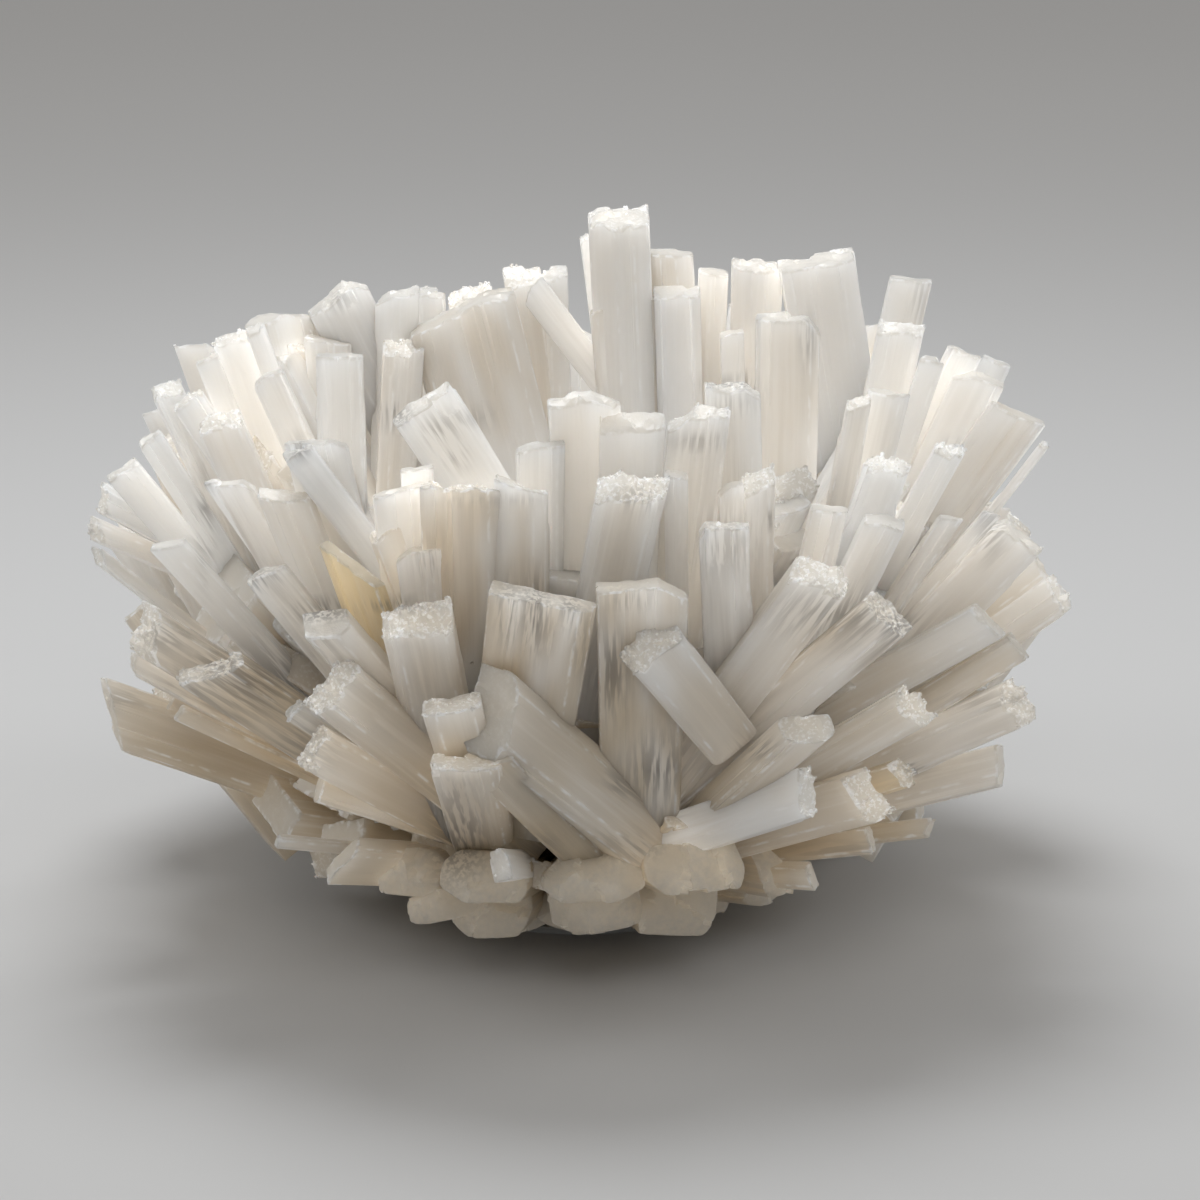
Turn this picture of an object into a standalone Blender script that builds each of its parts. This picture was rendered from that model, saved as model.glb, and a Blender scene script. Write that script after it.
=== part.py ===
"""Satin spar bowl: blades of satin spar glued in courses around a small clear disc.

The blades fan out like the spines of an urchin and leave a funnel-shaped hollow inside.
A blade is set out from where it stands in the front view: the two ends of its tip, and a
point that its axis runs toward. The bowl's rounded envelope gives how near each tip is.
Blades that cross inside one bunch are fused. Bunches part at planes between their blades.
Metres, +Z up, origin under the middle of the disc, front toward -Y.
"""

import math
import random
from collections import namedtuple

import bmesh
import bpy
import numpy as np
from mathutils import Vector

# Driving dimensions
BOWL_WIDTH = 0.420
BOWL_WIDTH_PX = 990
METRES_PER_PX = BOWL_WIDTH / BOWL_WIDTH_PX

ENVELOPE_RADIUS = 0.210
ENVELOPE_MIDDLE = 0.145
ENVELOPE_ABOVE = 0.146
ENVELOPE_BELOW = 0.160

DISC_RADIUS = 0.062
DISC_THICKNESS = 0.003
JOINT_GAP = 0.0003
LOWEST_SPAR = DISC_THICKNESS + JOINT_GAP

# Blades thinner than this, in millimetres, have one bevelled edge and not two.
PLATE_BELOW = 14

# A bevel's share of the blade's smaller side, its length over its depth, the slant of the
# broken end, and the root end's size over the tip's.
BEVEL = (0.06, 0.34)
BEVEL_LENGTH = 1.3
LEAN = (-0.25, 0.45)
TAPER = 0.9

ROOT_RADIUS = 0.042
ROOT_RADIUS_FOOT = 0.008
ROOT_FULL_ABOVE = 0.120
ROOT_FOOT_BELOW = 0.040
ROOT_RISE = 0.25
ROOT_DROP = 0.004
ROOT_LOWEST = 0.014

# Front view
VIEW_ELEVATION = math.radians(15)
VIEW_DISTANCE = 1.8
VIEW_MIDDLE_PX = 600
ORIGIN_U_PX = 580
ORIGIN_V_PX = 886

RIGHT = Vector((1, 0, 0))
FORWARD = Vector((0, math.cos(VIEW_ELEVATION), -math.sin(VIEW_ELEVATION)))
UPWARD = Vector((0, math.sin(VIEW_ELEVATION), math.cos(VIEW_ELEVATION)))
VIEW_TARGET = (
    RIGHT * (VIEW_MIDDLE_PX - ORIGIN_U_PX) + UPWARD * (ORIGIN_V_PX - VIEW_MIDDLE_PX)
) * METRES_PER_PX
EYE = VIEW_TARGET - FORWARD * VIEW_DISTANCE

# A tip is sought in small steps along its ray, from in front or from behind.
RAY_STEPS = 700
RAY_STEP = 0.0005
NEAR_START = 0.85
FAR_START = 1.20

DISC_SIDES = 64
WELD_DISTANCE = 0.00001
ON_PLANE = 0.000001
SAME_POINT = 0.000002
SEED = 11

# A root may stand this far round from below its tip before it costs, in radians.
TURN_FREE = 0.5
TURN_COST = 40
RING_STEP_DEGREES = 2

# Points through a blade, across and through it in parts of its sides, and along it in
# steps. A blade's outer end weighs more, because it shows.
WEIGH_ACROSS = (-0.38, -0.13, 0.13, 0.38)
WEIGH_THROUGH = (0.15, 0.5, 0.85)
WEIGH_STEPS = 14
WEIGH_LEAST = 0.02
WEIGH_POWER = 3
LINE_STEPS = 15
PARTING_SHARES = (0, 0.25, 0.5, 0.75, 1)

# Bunches before any of them falls apart, the most blades in one, and how strongly a
# bunch's size holds it back.
BUNCHES = 48
MAX_BUNCH = 7
SIZE_POWER = 1.5

# Blades of one bunch cross at least this deep, or they count as apart.
CROSSING_DEPTH = 0.0006

# The undersides of the lowest blades step by this much, over so many steps.
FLOOR_STEP = 0.00025
FLOOR_STEPS = 9

# Tips below these heights belong to the foot, low, middle and upper courses. Higher ones
# are inner blades inside the radius, and rim blades outside it.
FOOT_BELOW = 0.050
LOW_BELOW = 0.100
MIDDLE_BELOW = 0.150
UPPER_BELOW = 0.205
INNER_WITHIN = 0.118

SPAR_WARM = (0.84, 0.80, 0.74)
SPAR_WHITE = (0.93, 0.92, 0.90)
SPAR_ROUGHNESS = 0.42
CLEAR_COLOUR = (0.90, 0.93, 0.92)
CLEAR_ROUGHNESS = 0.05

# Tip's left and right ends and a point that the axis runs toward, in view pixels,
# then thickness and distance inside the envelope, in millimetres.
Near = namedtuple("Near", "left_u left_v right_u right_v toward_u toward_v thick inset")

# The same, with the tip's distance from the bowl's axis in place of the inset.
Far = namedtuple("Far", "left_u left_v right_u right_v toward_u toward_v thick radius")

LEFT_BLADES = [
    Near(95, 510, 95, 479, 183, 542, 10, 0),
    Near(107, 474, 133, 456, 172, 550, 10, 0),
    Near(136, 440, 158, 428, 184, 527, 9, 0),
    Near(150, 384, 178, 379, 182, 470, 9, 0),
    Near(172, 402, 200, 386, 222, 450, 11, 4),
    Near(196, 360, 217, 349, 232, 440, 9, 0),
    Near(214, 337, 247, 326, 262, 430, 10, 0),
    Near(245, 326, 264, 319, 290, 420, 9, 0),
    Near(252, 374, 282, 368, 303, 450, 9, 10),
    Near(197, 415, 237, 408, 258, 505, 11, 6),
    Near(204, 480, 218, 477, 236, 585, 6, 4),
    Near(218, 482, 250, 478, 272, 590, 9, 12),
    Near(262, 485, 310, 490, 305, 600, 11, 10),
    Near(280, 453, 307, 440, 358, 530, 9, 0),
    Near(290, 440, 345, 438, 345, 560, 12, 14),
    Near(90, 540, 84, 515, 150, 555, 9, 4),
    Near(92, 563, 88, 541, 150, 598, 9, 2),
    Near(152, 543, 184, 538, 232, 610, 10, 6),
    Near(318, 352, 362, 352, 343, 450, 11, 4),
    Near(368, 532, 395, 508, 410, 600, 10, 12),
    Near(248, 575, 282, 560, 345, 665, 10, 6),
]

LOWER_LEFT_BLADES = [
    Near(118, 748, 100, 680, 283, 810, 14, 0),
    Near(130, 648, 140, 601, 289, 753, 12, 0),
    Near(129, 673, 128, 651, 285, 775, 7, 0),
    Near(178, 668, 236, 651, 330, 765, 12, 6),
    Near(172, 716, 182, 704, 330, 800, 7, 8),
    Near(302, 612, 345, 606, 420, 720, 14, 2),
    Near(302, 697, 338, 652, 440, 770, 14, 0),
    Near(280, 712, 298, 698, 350, 770, 6, 2),
    Near(295, 760, 318, 723, 400, 815, 10, 0),
    Near(330, 540, 383, 580, 402, 690, 6, 8),
    Near(383, 600, 449, 598, 440, 720, 15, 0),
    Near(398, 548, 440, 545, 430, 640, 9, 14),
    Near(312, 800, 318, 775, 430, 870, 10, 2),
    Near(272, 845, 276, 833, 380, 890, 6, 0),
    Near(322, 868, 355, 838, 420, 900, 9, 0),
]

MIDDLE_BLADES = [
    Near(425, 484, 500, 486, 465, 600, 12, 0),
    Near(500, 476, 548, 492, 525, 600, 11, 4),
    Near(375, 492, 425, 481, 408, 600, 12, 6),
    Near(402, 468, 433, 465, 420, 560, 9, 12),
    Near(518, 442, 562, 437, 540, 560, 9, 10),
    Near(550, 395, 616, 385, 590, 575, 11, 0),
    Near(603, 410, 662, 405, 625, 575, 10, 0),
    Near(605, 466, 667, 476, 612, 580, 12, 0),
    Near(667, 468, 688, 472, 678, 560, 10, 12),
    Near(673, 404, 728, 406, 692, 480, 11, 0),
    Near(707, 379, 758, 382, 735, 480, 11, 0),
    Near(758, 312, 817, 312, 785, 440, 10, 0),
    Near(498, 580, 592, 600, 530, 700, 12, 0),
    Near(600, 582, 682, 575, 640, 700, 11, 2),
    Near(466, 750, 510, 742, 600, 860, 10, 4),
    Near(424, 700, 478, 690, 450, 790, 14, 2),
    Near(436, 752, 500, 756, 478, 880, 10, 0),
    Near(493, 882, 487, 852, 590, 905, 9, -3),
    Near(742, 470, 773, 466, 755, 580, 11, 4),
    Near(700, 520, 748, 518, 728, 640, 9, 0),
    Near(718, 484, 742, 480, 730, 560, 9, 10),
]

RIGHT_BLADES = [
    Near(892, 275, 930, 278, 895, 380, 11, 0),
    Near(880, 318, 922, 322, 885, 400, 11, 4),
    Near(922, 354, 945, 359, 915, 430, 7, 2),
    Near(950, 344, 980, 356, 925, 430, 9, 0),
    Near(960, 366, 1003, 380, 930, 500, 11, 0),
    Near(984, 352, 1010, 364, 985, 420, 7, -2),
    Near(993, 399, 1044, 420, 990, 510, 12, -2),
    Near(1042, 437, 1051, 443, 1005, 500, 6, -2),
    Near(940, 436, 968, 446, 905, 530, 9, 6),
    Near(845, 398, 870, 392, 850, 480, 9, 6),
    Near(870, 386, 908, 392, 875, 480, 10, 6),
    Near(868, 452, 912, 455, 862, 560, 11, 4),
    Near(866, 512, 905, 516, 850, 600, 11, 8),
    Near(985, 508, 1001, 514, 930, 600, 6, 2),
    Near(1003, 516, 1043, 545, 945, 610, 14, 0),
    Near(1038, 550, 1051, 575, 970, 620, 9, 2),
    Near(940, 512, 962, 516, 915, 600, 7, 12),
    Near(1056, 573, 1075, 604, 986, 651, 11, -4),
    Near(1012, 632, 1030, 655, 900, 720, 10, 2),
    Near(978, 603, 1006, 632, 880, 680, 10, 6),
    Near(812, 503, 846, 506, 815, 600, 10, 8),
    Near(800, 556, 857, 565, 745, 670, 12, 0),
    Near(878, 588, 913, 622, 760, 720, 15, 0),
]

LOWER_RIGHT_BLADES = [
    Near(1018, 677, 1044, 713, 859, 789, 14, -2),
    Near(912, 682, 936, 715, 800, 775, 10, 2),
    Near(1008, 745, 1003, 786, 818, 834, 11, -2),
    Near(905, 757, 925, 782, 800, 810, 7, 4),
    Near(868, 768, 893, 812, 760, 830, 11, 2),
    Near(818, 768, 820, 814, 680, 838, 12, 0),
    Near(780, 716, 828, 712, 745, 790, 14, 2),
    Near(937, 820, 931, 838, 800, 865, 6, 0),
    Near(872, 826, 878, 850, 740, 880, 9, 2),
    Near(812, 862, 820, 884, 690, 905, 9, 0),
]

FOOT_STONES = [
    Near(414, 926, 408, 896, 520, 915, 20, 0),
    Near(450, 931, 522, 928, 510, 890, 16, 0),
    Near(556, 931, 640, 917, 600, 880, 16, 0),
    Near(642, 925, 718, 927, 690, 880, 18, 0),
    Near(440, 892, 520, 896, 500, 860, 12, 3),
    Near(545, 898, 640, 892, 600, 860, 12, 5),
    Near(655, 888, 745, 880, 690, 850, 12, 3),
    Near(372, 884, 425, 893, 470, 870, 12, 4),
    Near(770, 894, 800, 886, 700, 900, 12, 2),
]

FAR_BLADES = [
    Far(309, 307, 357, 272, 378, 379, 22, 150),
    Far(264, 321, 312, 333, 312, 420, 20, 160),
    Far(308, 333, 350, 338, 335, 420, 16, 140),
    Far(378, 290, 418, 286, 395, 380, 18, 125),
    Far(420, 289, 444, 291, 435, 360, 14, 140),
    Far(451, 286, 490, 281, 472, 340, 14, 140),
    Far(386, 338, 424, 334, 400, 420, 14, 105),
    Far(413, 326, 505, 281, 495, 440, 26, 105),
    Far(504, 268, 538, 263, 530, 330, 16, 130),
    Far(540, 268, 566, 264, 555, 330, 14, 125),
    Far(590, 206, 645, 204, 628, 440, 30, 100),
    Far(579, 234, 588, 230, 592, 300, 10, 103),
    Far(592, 297, 654, 293, 630, 400, 14, 84),
    Far(649, 248, 690, 250, 675, 330, 18, 112),
    Far(655, 286, 697, 283, 680, 430, 16, 92),
    Far(700, 265, 727, 267, 710, 350, 14, 115),
    Far(734, 257, 780, 260, 755, 340, 18, 120),
    Far(780, 260, 848, 247, 835, 390, 20, 130),
    Far(720, 331, 742, 328, 733, 400, 12, 95),
]

# Blades that lie across the others: tip's ends and root end in view pixels, then
# thickness and how far back of the bowl's middle each end lies, in millimetres.
Lying = namedtuple("Lying", "left_u left_v right_u right_v root_u root_v thick tip_back root_back")

LYING_BLADES = [
    Lying(612, 648, 662, 606, 722, 732, 14, -196, -160),
    Lying(510, 748, 524, 682, 640, 838, 17, -188, -118),
    Lying(395, 412, 440, 380, 505, 530, 12, -124, -112),
    Lying(519, 297, 541, 274, 640, 430, 12, 88, 60),
]

# Courses on the hidden side: height of the tips, their spacing and distance inside.
Course = namedtuple("Course", "height spacing inset width thick")

BACK_COURSES = [
    Course(0.034, 0.052, 0.006, 0.034, 0.018),
    Course(0.074, 0.054, 0.002, 0.033, 0.014),
    Course(0.112, 0.058, 0.000, 0.034, 0.015),
    Course(0.150, 0.058, 0.001, 0.033, 0.015),
    Course(0.188, 0.056, 0.002, 0.034, 0.015),
    Course(0.222, 0.050, 0.004, 0.030, 0.014),
]
BACK_STARTS_AT = 0.045
BACK_MOST_SIDEWAYS = 0.25
BACK_FEWEST = 3

# How far a blade of a course strays, in metres, radians and parts of its width.
STRAY_HEIGHT = 0.007
STRAY_REACH = 0.008
STRAY_ROOT_TURN = 0.12
STRAY_WIDTH = (0.75, 1.3)
STRAY_TILT = 0.35

# Shorter blades that close the gaps between the others, all round.
INFILL_COURSES = [
    Course(0.055, 0.050, 0.024, 0.034, 0.016),
    Course(0.105, 0.050, 0.026, 0.034, 0.016),
    Course(0.155, 0.050, 0.028, 0.034, 0.016),
    Course(0.200, 0.050, 0.026, 0.032, 0.014),
]
INFILL_CLEARANCE = 0.0245


class Blade:
    """One convex blade: its faces, its axis, and points inside it that weigh its parts."""

    def __init__(self, tip_a, tip_b, root, thick, corners, rng):
        self.tip = (tip_a + tip_b) / 2
        self.root = root
        self.axis = (self.tip - root).normalized()
        edge = tip_b - tip_a
        along = edge.dot(self.axis)
        across = edge - self.axis * along
        self.width = across.length
        across.normalize()
        depth = self.axis.cross(across)
        toward_eye = self.axis.dot(FORWARD) < 0
        if (depth.dot(FORWARD) < 0) != toward_eye:
            depth.negate()
        self.across = across
        self.depth = depth
        self.thick = thick
        slope = along / self.width
        lean = rng.uniform(*LEAN)
        bevel = min(thick, self.width)
        cut_a = rng.uniform(*BEVEL) * bevel
        cut_b = rng.uniform(*BEVEL) * bevel
        half = self.width / 2
        outline = [(-half, 0), (half, 0)]
        if corners > 4:
            outline += [(half, thick - cut_b), (half - cut_b * BEVEL_LENGTH, thick)]
        else:
            outline += [(half, thick)]
        if corners > 5:
            outline += [(-half + cut_a * BEVEL_LENGTH, thick), (-half, thick - cut_a)]
        else:
            outline += [(-half, thick)]
        middle = thick / 2
        ends = []
        for centre, size, tilt, back in ((root, TAPER, 0, 0), (self.tip, 1, slope, lean)):
            ring = []
            for x, y in outline:
                at_y = middle + (y - middle) * size
                rise = tilt * x + back * y
                ring.append(centre + across * x * size + depth * at_y + self.axis * rise)
            ends.append(ring)
        self.faces = prism_faces(*ends)
        self.weigh()

    def weigh(self):
        """Points through the blade, heavier toward the tip, where it is seen."""
        points = []
        weights = []
        for step in range(WEIGH_STEPS):
            part = (step + 0.5) / WEIGH_STEPS
            size = TAPER + (1 - TAPER) * part
            for x in WEIGH_ACROSS:
                for y in WEIGH_THROUGH:
                    point = self.root.lerp(self.tip, part)
                    point = point + self.across * (x * self.width * size)
                    points.append(point + self.depth * (y * self.thick))
                    weights.append(self.width * (WEIGH_LEAST + part ** WEIGH_POWER))
        self.points = np.array([tuple(point) for point in points])
        self.weights = np.array(weights)

    def corners(self):
        return np.array([tuple(corner) for face in self.faces for corner in face])

    def cut(self, normal, offset):
        """Keep what lies below the plane normal . x = offset."""
        self.faces = clip_faces(self.faces, Vector(normal), offset)
        keep = self.points @ np.array(normal) <= offset
        self.points = self.points[keep]
        self.weights = self.weights[keep]


def prism_faces(bottom, top):
    """Faces of the solid between two rings with as many corners, pointing out."""
    count = len(bottom)
    faces = [list(bottom), list(top)]
    for i in range(count):
        j = (i + 1) % count
        faces.append([bottom[i], bottom[j], top[j], top[i]])
    middle = sum(bottom + top, Vector()) / (2 * count)
    return [outward(face, middle) for face in faces]


def face_normal(face):
    normal = Vector()
    for i, corner in enumerate(face):
        after = face[(i + 1) % len(face)]
        normal += (corner - face[0]).cross(after - face[0])
    return normal.normalized()


def outward(face, middle):
    if face_normal(face).dot(face[0] - middle) < 0:
        face = face[::-1]
    return face


def clip_faces(faces, normal, offset):
    """Cut a convex solid by a plane and close the cut."""
    kept = []
    rim = []
    for face in faces:
        sides = [corner.dot(normal) - offset for corner in face]
        sides = [0 if abs(side) < ON_PLANE else side for side in sides]
        if max(sides) <= 0:
            kept.append(face)
            continue
        part = []
        for i, corner in enumerate(face):
            j = (i + 1) % len(face)
            if sides[i] <= 0:
                part.append(corner)
            if sides[i] == 0:
                rim.append(corner)
            if sides[i] * sides[j] < 0:
                crossing_point = corner.lerp(face[j], sides[i] / (sides[i] - sides[j]))
                part.append(crossing_point)
                rim.append(crossing_point)
        if len(part) >= 3:
            kept.append(part)
    if len(rim) >= 3:
        middle = sum(rim, Vector()) / len(rim)
        side = normal.orthogonal().normalized()
        other = normal.cross(side)
        rim.sort(key=lambda p: math.atan2((p - middle).dot(other), (p - middle).dot(side)))
        lid = [p for i, p in enumerate(rim) if (p - rim[i - 1]).length > SAME_POINT]
        if len(lid) >= 3:
            kept.append(lid)
    return kept


def sight(u, v):
    """Ray through a pixel of the front view; 1 along it is the plane of the target."""
    across = RIGHT * (u - VIEW_MIDDLE_PX) + UPWARD * (VIEW_MIDDLE_PX - v)
    return FORWARD * VIEW_DISTANCE + across * METRES_PER_PX


def seen_at(point):
    """Pixel of the front view at which a point is seen."""
    offset = point - EYE
    scale = VIEW_DISTANCE / offset.dot(FORWARD) / METRES_PER_PX
    u = VIEW_MIDDLE_PX + offset.dot(RIGHT) * scale
    v = VIEW_MIDDLE_PX - offset.dot(UPWARD) * scale
    return u, v


def envelope_level(point):
    """1 on the bowl's rounded outside, less within it."""
    rise = point.z - ENVELOPE_MIDDLE
    half = ENVELOPE_ABOVE if rise > 0 else ENVELOPE_BELOW
    return math.hypot(point.x, point.y) ** 2 / ENVELOPE_RADIUS ** 2 + (rise / half) ** 2


def near_distance(u, v, inset_mm):
    """How far along its ray a tip on the near side lies."""
    ray = sight(u, v)
    limit = (1 - inset_mm / 1000 / ENVELOPE_RADIUS) ** 2
    best = None
    for step in range(RAY_STEPS):
        along = NEAR_START + RAY_STEP * step
        level = envelope_level(EYE + ray * along)
        if best is None or level < best[0]:
            best = (level, along)
        if level <= limit:
            return along
    return best[1]


def far_distance(u, v, radius_mm):
    """How far along its ray a tip on the far side lies."""
    ray = sight(u, v)
    best = None
    for step in range(RAY_STEPS):
        along = FAR_START - RAY_STEP * step
        point = EYE + ray * along
        radius = math.hypot(point.x, point.y)
        if best is None or radius < best[0]:
            best = (radius, along)
        if radius <= radius_mm / 1000:
            return along
    return best[1]


def back_distance(u, v, back_mm):
    """How far along its ray a point lies that is so far back of the bowl's middle."""
    return (back_mm / 1000 - EYE.y) / sight(u, v).y


def root_ring(tip):
    """Radius and height of the ring on which a blade's root stands."""
    height = max(ROOT_LOWEST, ROOT_RISE * tip.z - ROOT_DROP)
    low = min(1, max(0, (ROOT_FULL_ABOVE - tip.z) / (ROOT_FULL_ABOVE - ROOT_FOOT_BELOW)))
    return ROOT_RADIUS + (ROOT_RADIUS_FOOT - ROOT_RADIUS) * low, height


def root_below(tip, row):
    """The place on the root ring that the blade's axis meets in the front view."""
    radius, height = root_ring(tip)
    tip_u = (row.left_u + row.right_u) / 2
    tip_v = (row.left_v + row.right_v) / 2
    run_u = row.toward_u - tip_u
    run_v = row.toward_v - tip_v
    run = math.hypot(run_u, run_v)
    tip_angle = math.atan2(tip.y, tip.x)
    best = None
    for degree in range(0, 360, RING_STEP_DEGREES):
        angle = math.radians(degree)
        root = Vector((radius * math.cos(angle), radius * math.sin(angle), height))
        u, v = seen_at(root)
        miss = abs((u - tip_u) * run_v - (v - tip_v) * run_u) / run
        turn = abs((angle - tip_angle + math.pi) % math.tau - math.pi)
        cost = miss + TURN_COST * max(0, turn - TURN_FREE) ** 2 + turn
        if best is None or cost < best[0]:
            best = (cost, root)
    return best[1]


def blade_from_row(row, rng):
    middle_u = (row.left_u + row.right_u) / 2
    middle_v = (row.left_v + row.right_v) / 2
    if isinstance(row, Lying):
        along = back_distance(middle_u, middle_v, row.tip_back)
    elif isinstance(row, Far):
        along = far_distance(middle_u, middle_v, row.radius)
    else:
        along = near_distance(middle_u, middle_v, row.inset)
    tip_a = EYE + sight(row.left_u, row.left_v) * along
    tip_b = EYE + sight(row.right_u, row.right_v) * along
    tip = (tip_a + tip_b) / 2
    if isinstance(row, Lying):
        root_along = back_distance(row.root_u, row.root_v, row.root_back)
        root = EYE + sight(row.root_u, row.root_v) * root_along
    else:
        root = root_below(tip, row)
    corners = 6 if row.thick >= PLATE_BELOW else 5
    return Blade(tip_a, tip_b, root, row.thick / 1000, corners, rng)


def envelope_radius(height, inset):
    rise = height - ENVELOPE_MIDDLE
    half = ENVELOPE_ABOVE if rise > 0 else ENVELOPE_BELOW
    return ENVELOPE_RADIUS * math.sqrt(1 - (rise / half) ** 2) - inset


def around(radius, angle, height):
    return Vector((radius * math.cos(angle), radius * math.sin(angle), height))


def course_blade(course, angle, rng):
    """One blade of a course, a little off its course's height, reach and direction."""
    height = course.height + rng.uniform(-STRAY_HEIGHT, STRAY_HEIGHT)
    reach = envelope_radius(height, course.inset) - rng.uniform(0, STRAY_REACH)
    tip = around(reach, angle, height)
    root_radius, root_height = root_ring(tip)
    turn = rng.uniform(-STRAY_ROOT_TURN, STRAY_ROOT_TURN)
    root = around(root_radius, angle + turn, root_height)
    width = course.width * rng.uniform(*STRAY_WIDTH)
    tilt = rng.uniform(-STRAY_TILT, STRAY_TILT)
    tangent = Vector((-math.sin(angle), math.cos(angle), tilt))
    half = tangent.normalized() * width / 2
    return Blade(tip - half, tip + half, root, course.thick, rng.choice((4, 5)), rng)


def back_blades(rng):
    """Blades of the hidden side, in courses like those in front."""
    blades = []
    for number, course in enumerate(BACK_COURSES):
        radius = envelope_radius(course.height, course.inset)
        start = math.asin(min(1, BACK_STARTS_AT / radius))
        sweep = math.pi - 2 * start
        count = max(BACK_FEWEST, round(sweep * radius / course.spacing))
        for i in range(count):
            angle = start + sweep * (i + 0.5 * (1 + number % 2)) / count
            sideways = rng.uniform(-BACK_MOST_SIDEWAYS, BACK_MOST_SIDEWAYS)
            angle += sideways * course.spacing / radius
            blades.append(course_blade(course, angle, rng))
    return blades


def clear_of_blades(point, blades):
    """How far a point is from the nearest blade's middle."""
    nearest = math.inf
    for blade in blades:
        along = (point - blade.root).dot(blade.axis)
        along = min(max(along, 0), (blade.tip - blade.root).length)
        middle = blade.root + blade.axis * along + blade.depth * blade.thick / 2
        nearest = min(nearest, (point - middle).length)
    return nearest


def infill_blades(blades, rng):
    """Short blades where a course leaves a gap."""
    added = []
    for course in INFILL_COURSES:
        radius = envelope_radius(course.height, course.inset)
        count = round(math.tau * radius / course.spacing * 2)
        for i in range(count):
            blade = course_blade(course, math.tau * i / count, rng)
            if clear_of_blades(blade.tip, blades + added) > INFILL_CLEARANCE:
                added.append(blade)
    return added


def candidate_normals(first, second):
    """Directions, from the first blade toward the second, in which they may part."""
    between = second.points.mean(axis=0) - first.points.mean(axis=0)
    normals = [between]
    normals.append(np.array(tuple(first.axis.cross(second.axis))))
    gap = closest_offset(first, second)
    normals.append(gap)
    for face in first.faces:
        normals.append(np.array(tuple(face_normal(face))))
    for face in second.faces:
        normals.append(np.array(tuple(face_normal(face))))
    result = []
    for normal in normals:
        size = np.linalg.norm(normal)
        if size < SAME_POINT:
            continue
        normal = normal / size
        result.append(normal if normal @ between > 0 else -normal)
    return result


def closest_offset(first, second):
    """Shortest way from one blade's middle line to the other's."""
    steps = np.linspace(0, 1, LINE_STEPS)[:, None]
    line_a = np.array(tuple(first.root)) * (1 - steps) + np.array(tuple(first.tip)) * steps
    line_b = np.array(tuple(second.root)) * (1 - steps) + np.array(tuple(second.tip)) * steps
    gaps = line_b[None, :, :] - line_a[:, None, :]
    lengths = np.linalg.norm(gaps, axis=2)
    i, j = np.unravel_index(lengths.argmin(), lengths.shape)
    return gaps[i, j]


def best_parting(first, second):
    """Cost and plane that part two blades with the least loss, or None if they are apart."""
    corners_a = first.corners()
    corners_b = second.corners()
    low = np.maximum(corners_a.min(axis=0), corners_b.min(axis=0))
    high = np.minimum(corners_a.max(axis=0), corners_b.max(axis=0))
    if (low > high + JOINT_GAP).any():
        return None
    best = None
    for normal in candidate_normals(first, second):
        top = (corners_a @ normal).max()
        bottom = (corners_b @ normal).min()
        if top + JOINT_GAP <= bottom:
            return None
        heights_a = first.points @ normal
        heights_b = second.points @ normal
        for share in PARTING_SHARES:
            offset = bottom + (top - bottom) * share
            lost_a = first.weights[heights_a > offset].sum()
            lost_b = second.weights[heights_b < offset].sum()
            cost = lost_a + lost_b
            if best is None or cost < best[0]:
                best = (cost, normal, offset)
    return best


def part_blades(first, second):
    """Part two blades of different bunches, with the joint's gap between them."""
    parting = best_parting(first, second)
    if parting is None:
        return
    _, normal, offset = parting
    first.cut(normal, offset - JOINT_GAP / 2)
    second.cut(-normal, -offset - JOINT_GAP / 2)


def crossing(first, second):
    """Whether two blades share enough room to be fused."""
    shared = first.faces
    for face in second.faces:
        normal = face_normal(face)
        shared = clip_faces(shared, normal, face[0].dot(normal))
        if len(shared) < 4:
            return False
    corners = np.array([tuple(corner) for face in shared for corner in face])
    return (np.ptp(corners, axis=0) > CROSSING_DEPTH).all()


def split_bunch(bunch):
    """The parts of a bunch whose blades still cross after the other bunches' cuts."""
    parts = []
    for blade in bunch:
        touching = [part for part in parts if any(crossing(blade, other) for other in part)]
        for part in touching:
            parts.remove(part)
        parts.append(sum(touching, []) + [blade])
    for i, first_part in enumerate(parts):
        for second_part in parts[i + 1:]:
            for first in first_part:
                for second in second_part:
                    part_blades(first, second)
    return parts


def bunch_blades(blades):
    """Group the blades that cross each other most, and return lists of their numbers."""
    costs = {}
    for i, first in enumerate(blades):
        for j in range(i + 1, len(blades)):
            parting = best_parting(first, blades[j])
            if parting is not None:
                costs[i, j] = parting[0]
    groups = {i: [i] for i in range(len(blades))}
    links = dict(costs)
    while len(groups) > BUNCHES:
        choices = [
            (-cost / (len(groups[a]) + len(groups[b])) ** SIZE_POWER, a, b)
            for (a, b), cost in links.items()
            if len(groups[a]) + len(groups[b]) <= MAX_BUNCH
        ]
        if not choices:
            break
        _, kept, merged = min(choices)
        groups[kept] = groups[kept] + groups.pop(merged)
        joined = {}
        for (a, b), cost in links.items():
            a = kept if a == merged else a
            b = kept if b == merged else b
            if a == b:
                continue
            key = (min(a, b), max(a, b))
            joined[key] = joined.get(key, 0) + cost
        links = joined
    return list(groups.values())


def course_name(blades):
    """The course that a bunch belongs to, from the height of its tips."""
    height = sum(blade.tip.z for blade in blades) / len(blades)
    radius = sum(math.hypot(blade.tip.x, blade.tip.y) for blade in blades) / len(blades)
    kind = "bunch" if len(blades) > 1 else "blade"
    if height < FOOT_BELOW:
        return "foot_" + kind
    if height < LOW_BELOW:
        return "low_" + kind
    if height < MIDDLE_BELOW:
        return "middle_" + kind
    if height < UPPER_BELOW:
        return "upper_" + kind
    if radius < INNER_WITHIN:
        return "inner_" + kind
    return "rim_" + kind


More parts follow.
